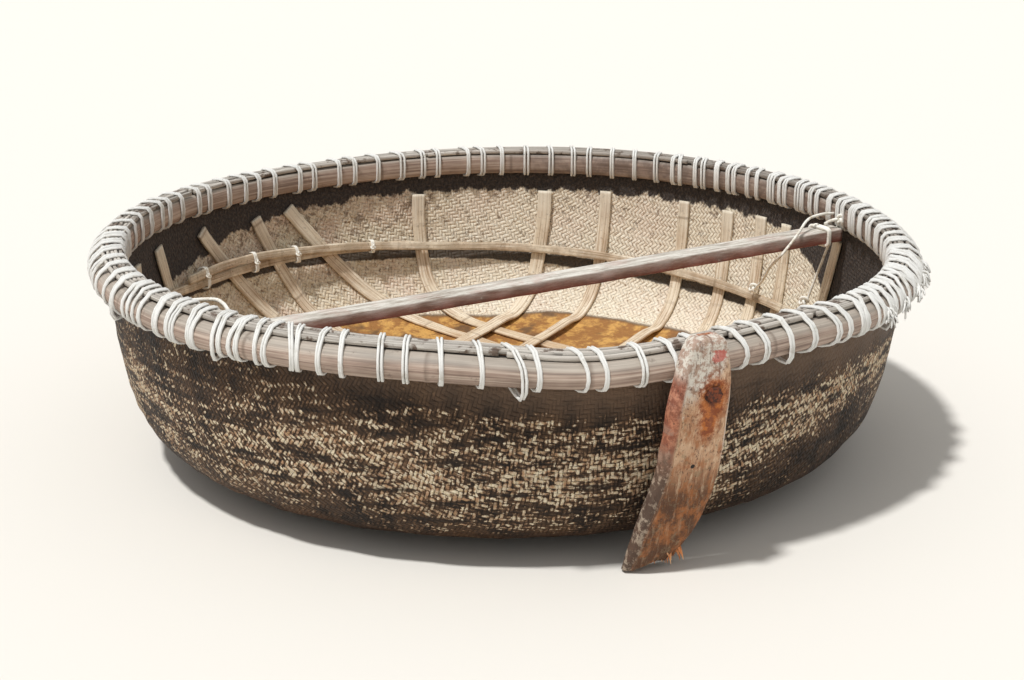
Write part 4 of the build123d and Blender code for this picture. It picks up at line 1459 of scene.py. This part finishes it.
# Board's bolt. A rusty iron bolt through board and bowl, its washers sunk in the soft wood. The
# CAD's own shape is right, so only its finish is new.
bolt = bpy.data.objects["stern_board_bolt"]


def rusty_iron(tree):
    """Scaling rust: dark brown scabs over orange, rough and pitted."""
    place = place_of(tree)
    scabs = cloud(place, 120.0, detail=6.0, rough=0.75)
    pits = cloud(place, 420.0, detail=4.0, rough=0.7)
    colour = coated(
        (58, 32, 22),
        (rising(scabs, 0.42, 0.62), 1, (128, 62, 30)),
        (rising(pits, 0.58, 0.7), 1, (34, 22, 18)),
    )
    return colour, 0.82, weighed(scabs, (pits, 0.5)), 0.0012


bolt.data.materials.clear()
bolt.data.materials.append(finish("rusty_iron", rusty_iron))

# Loose splint. A thin strip of bamboo, left from mending, lies across the ribs in the bottom.
splint_width = 0.011
splint_thickness = 0.003
splint_bow = 0.006
splint_start = np.array([-0.115, -0.295, 0.052])
splint_end = np.array([0.080, -0.215, 0.050])
along = np.linspace(0, 1, 60)[:, None]
route = splint_start + (splint_end - splint_start) * along + splint_bow * np.sin(along * pi) * upward
facing = np.broadcast_to(upward, route.shape)
splint = lath("loose_splint", route, facing, splint_width, splint_thickness, 97)
splint.data.materials.append(dry_lath)

# Setting: a pale floor under plain, soft studio light, and a camera at the height of a standing
# eye, some four metres from the boat
floor_half = 30.0
floor_corners = [(x * floor_half, y * floor_half, 0) for x, y in ((-1, -1), (1, -1), (1, 1), (-1, 1))]
floor_mesh = bpy.data.meshes.new("floor")
floor_mesh.from_pydata(floor_corners, [], [(0, 1, 2, 3)])
floor = bpy.data.objects.new("floor", floor_mesh)
bpy.context.scene.collection.objects.link(floor)
floor_paint = bpy.data.materials.new("pale_floor")
floor_paint.use_nodes = True
floor_shader = floor_paint.node_tree.nodes["Principled BSDF"]
floor_shader.inputs["Base Color"].default_value = shade(226, 222, 214)
floor_shader.inputs["Roughness"].default_value = 0.9
floor_mesh.materials.append(floor_paint)

sun_data = bpy.data.lights.new("key", "SUN")
sun_data.energy = 2.9
sun_data.angle = radians(5)
sun = bpy.data.objects.new("key", sun_data)
sun.rotation_mode = "QUATERNION"
sun.rotation_quaternion = Vector((0.42, 0.10, -1.0)).to_track_quat("-Z", "Y")
bpy.context.scene.collection.objects.link(sun)

# The sky lights the boat at half the strength at which it is seen
world = bpy.data.worlds.new("studio")
world.use_nodes = True
bpy.context.scene.world = world
sky = world.node_tree.nodes["Background"]
rays = node(world.node_tree, "LightPath").outputs
seen = calc("MAXIMUM", rays["Is Camera Ray"], rays["Is Glossy Ray"])
strength = weighed(0.5, (seen, 0.5))
world.node_tree.links.new(strength, sky.inputs["Strength"])
sky.inputs["Color"].default_value = (1.0, 1.0, 1.0, 1.0)

camera_data = bpy.data.cameras.new("eye")
camera_data.lens = 70.0
camera_data.clip_start = 0.05
camera = bpy.data.objects.new("eye", camera_data)
eye = Vector((-2.210, -3.626, 1.561))
camera.location = eye
camera.rotation_mode = "QUATERNION"
camera.rotation_quaternion = (Vector((0.0, -0.03, 0.215)) - eye).to_track_quat("-Z", "Y")
bpy.context.scene.collection.objects.link(camera)
bpy.context.scene.camera = camera
bpy.context.scene.view_settings.view_transform = "Standard"
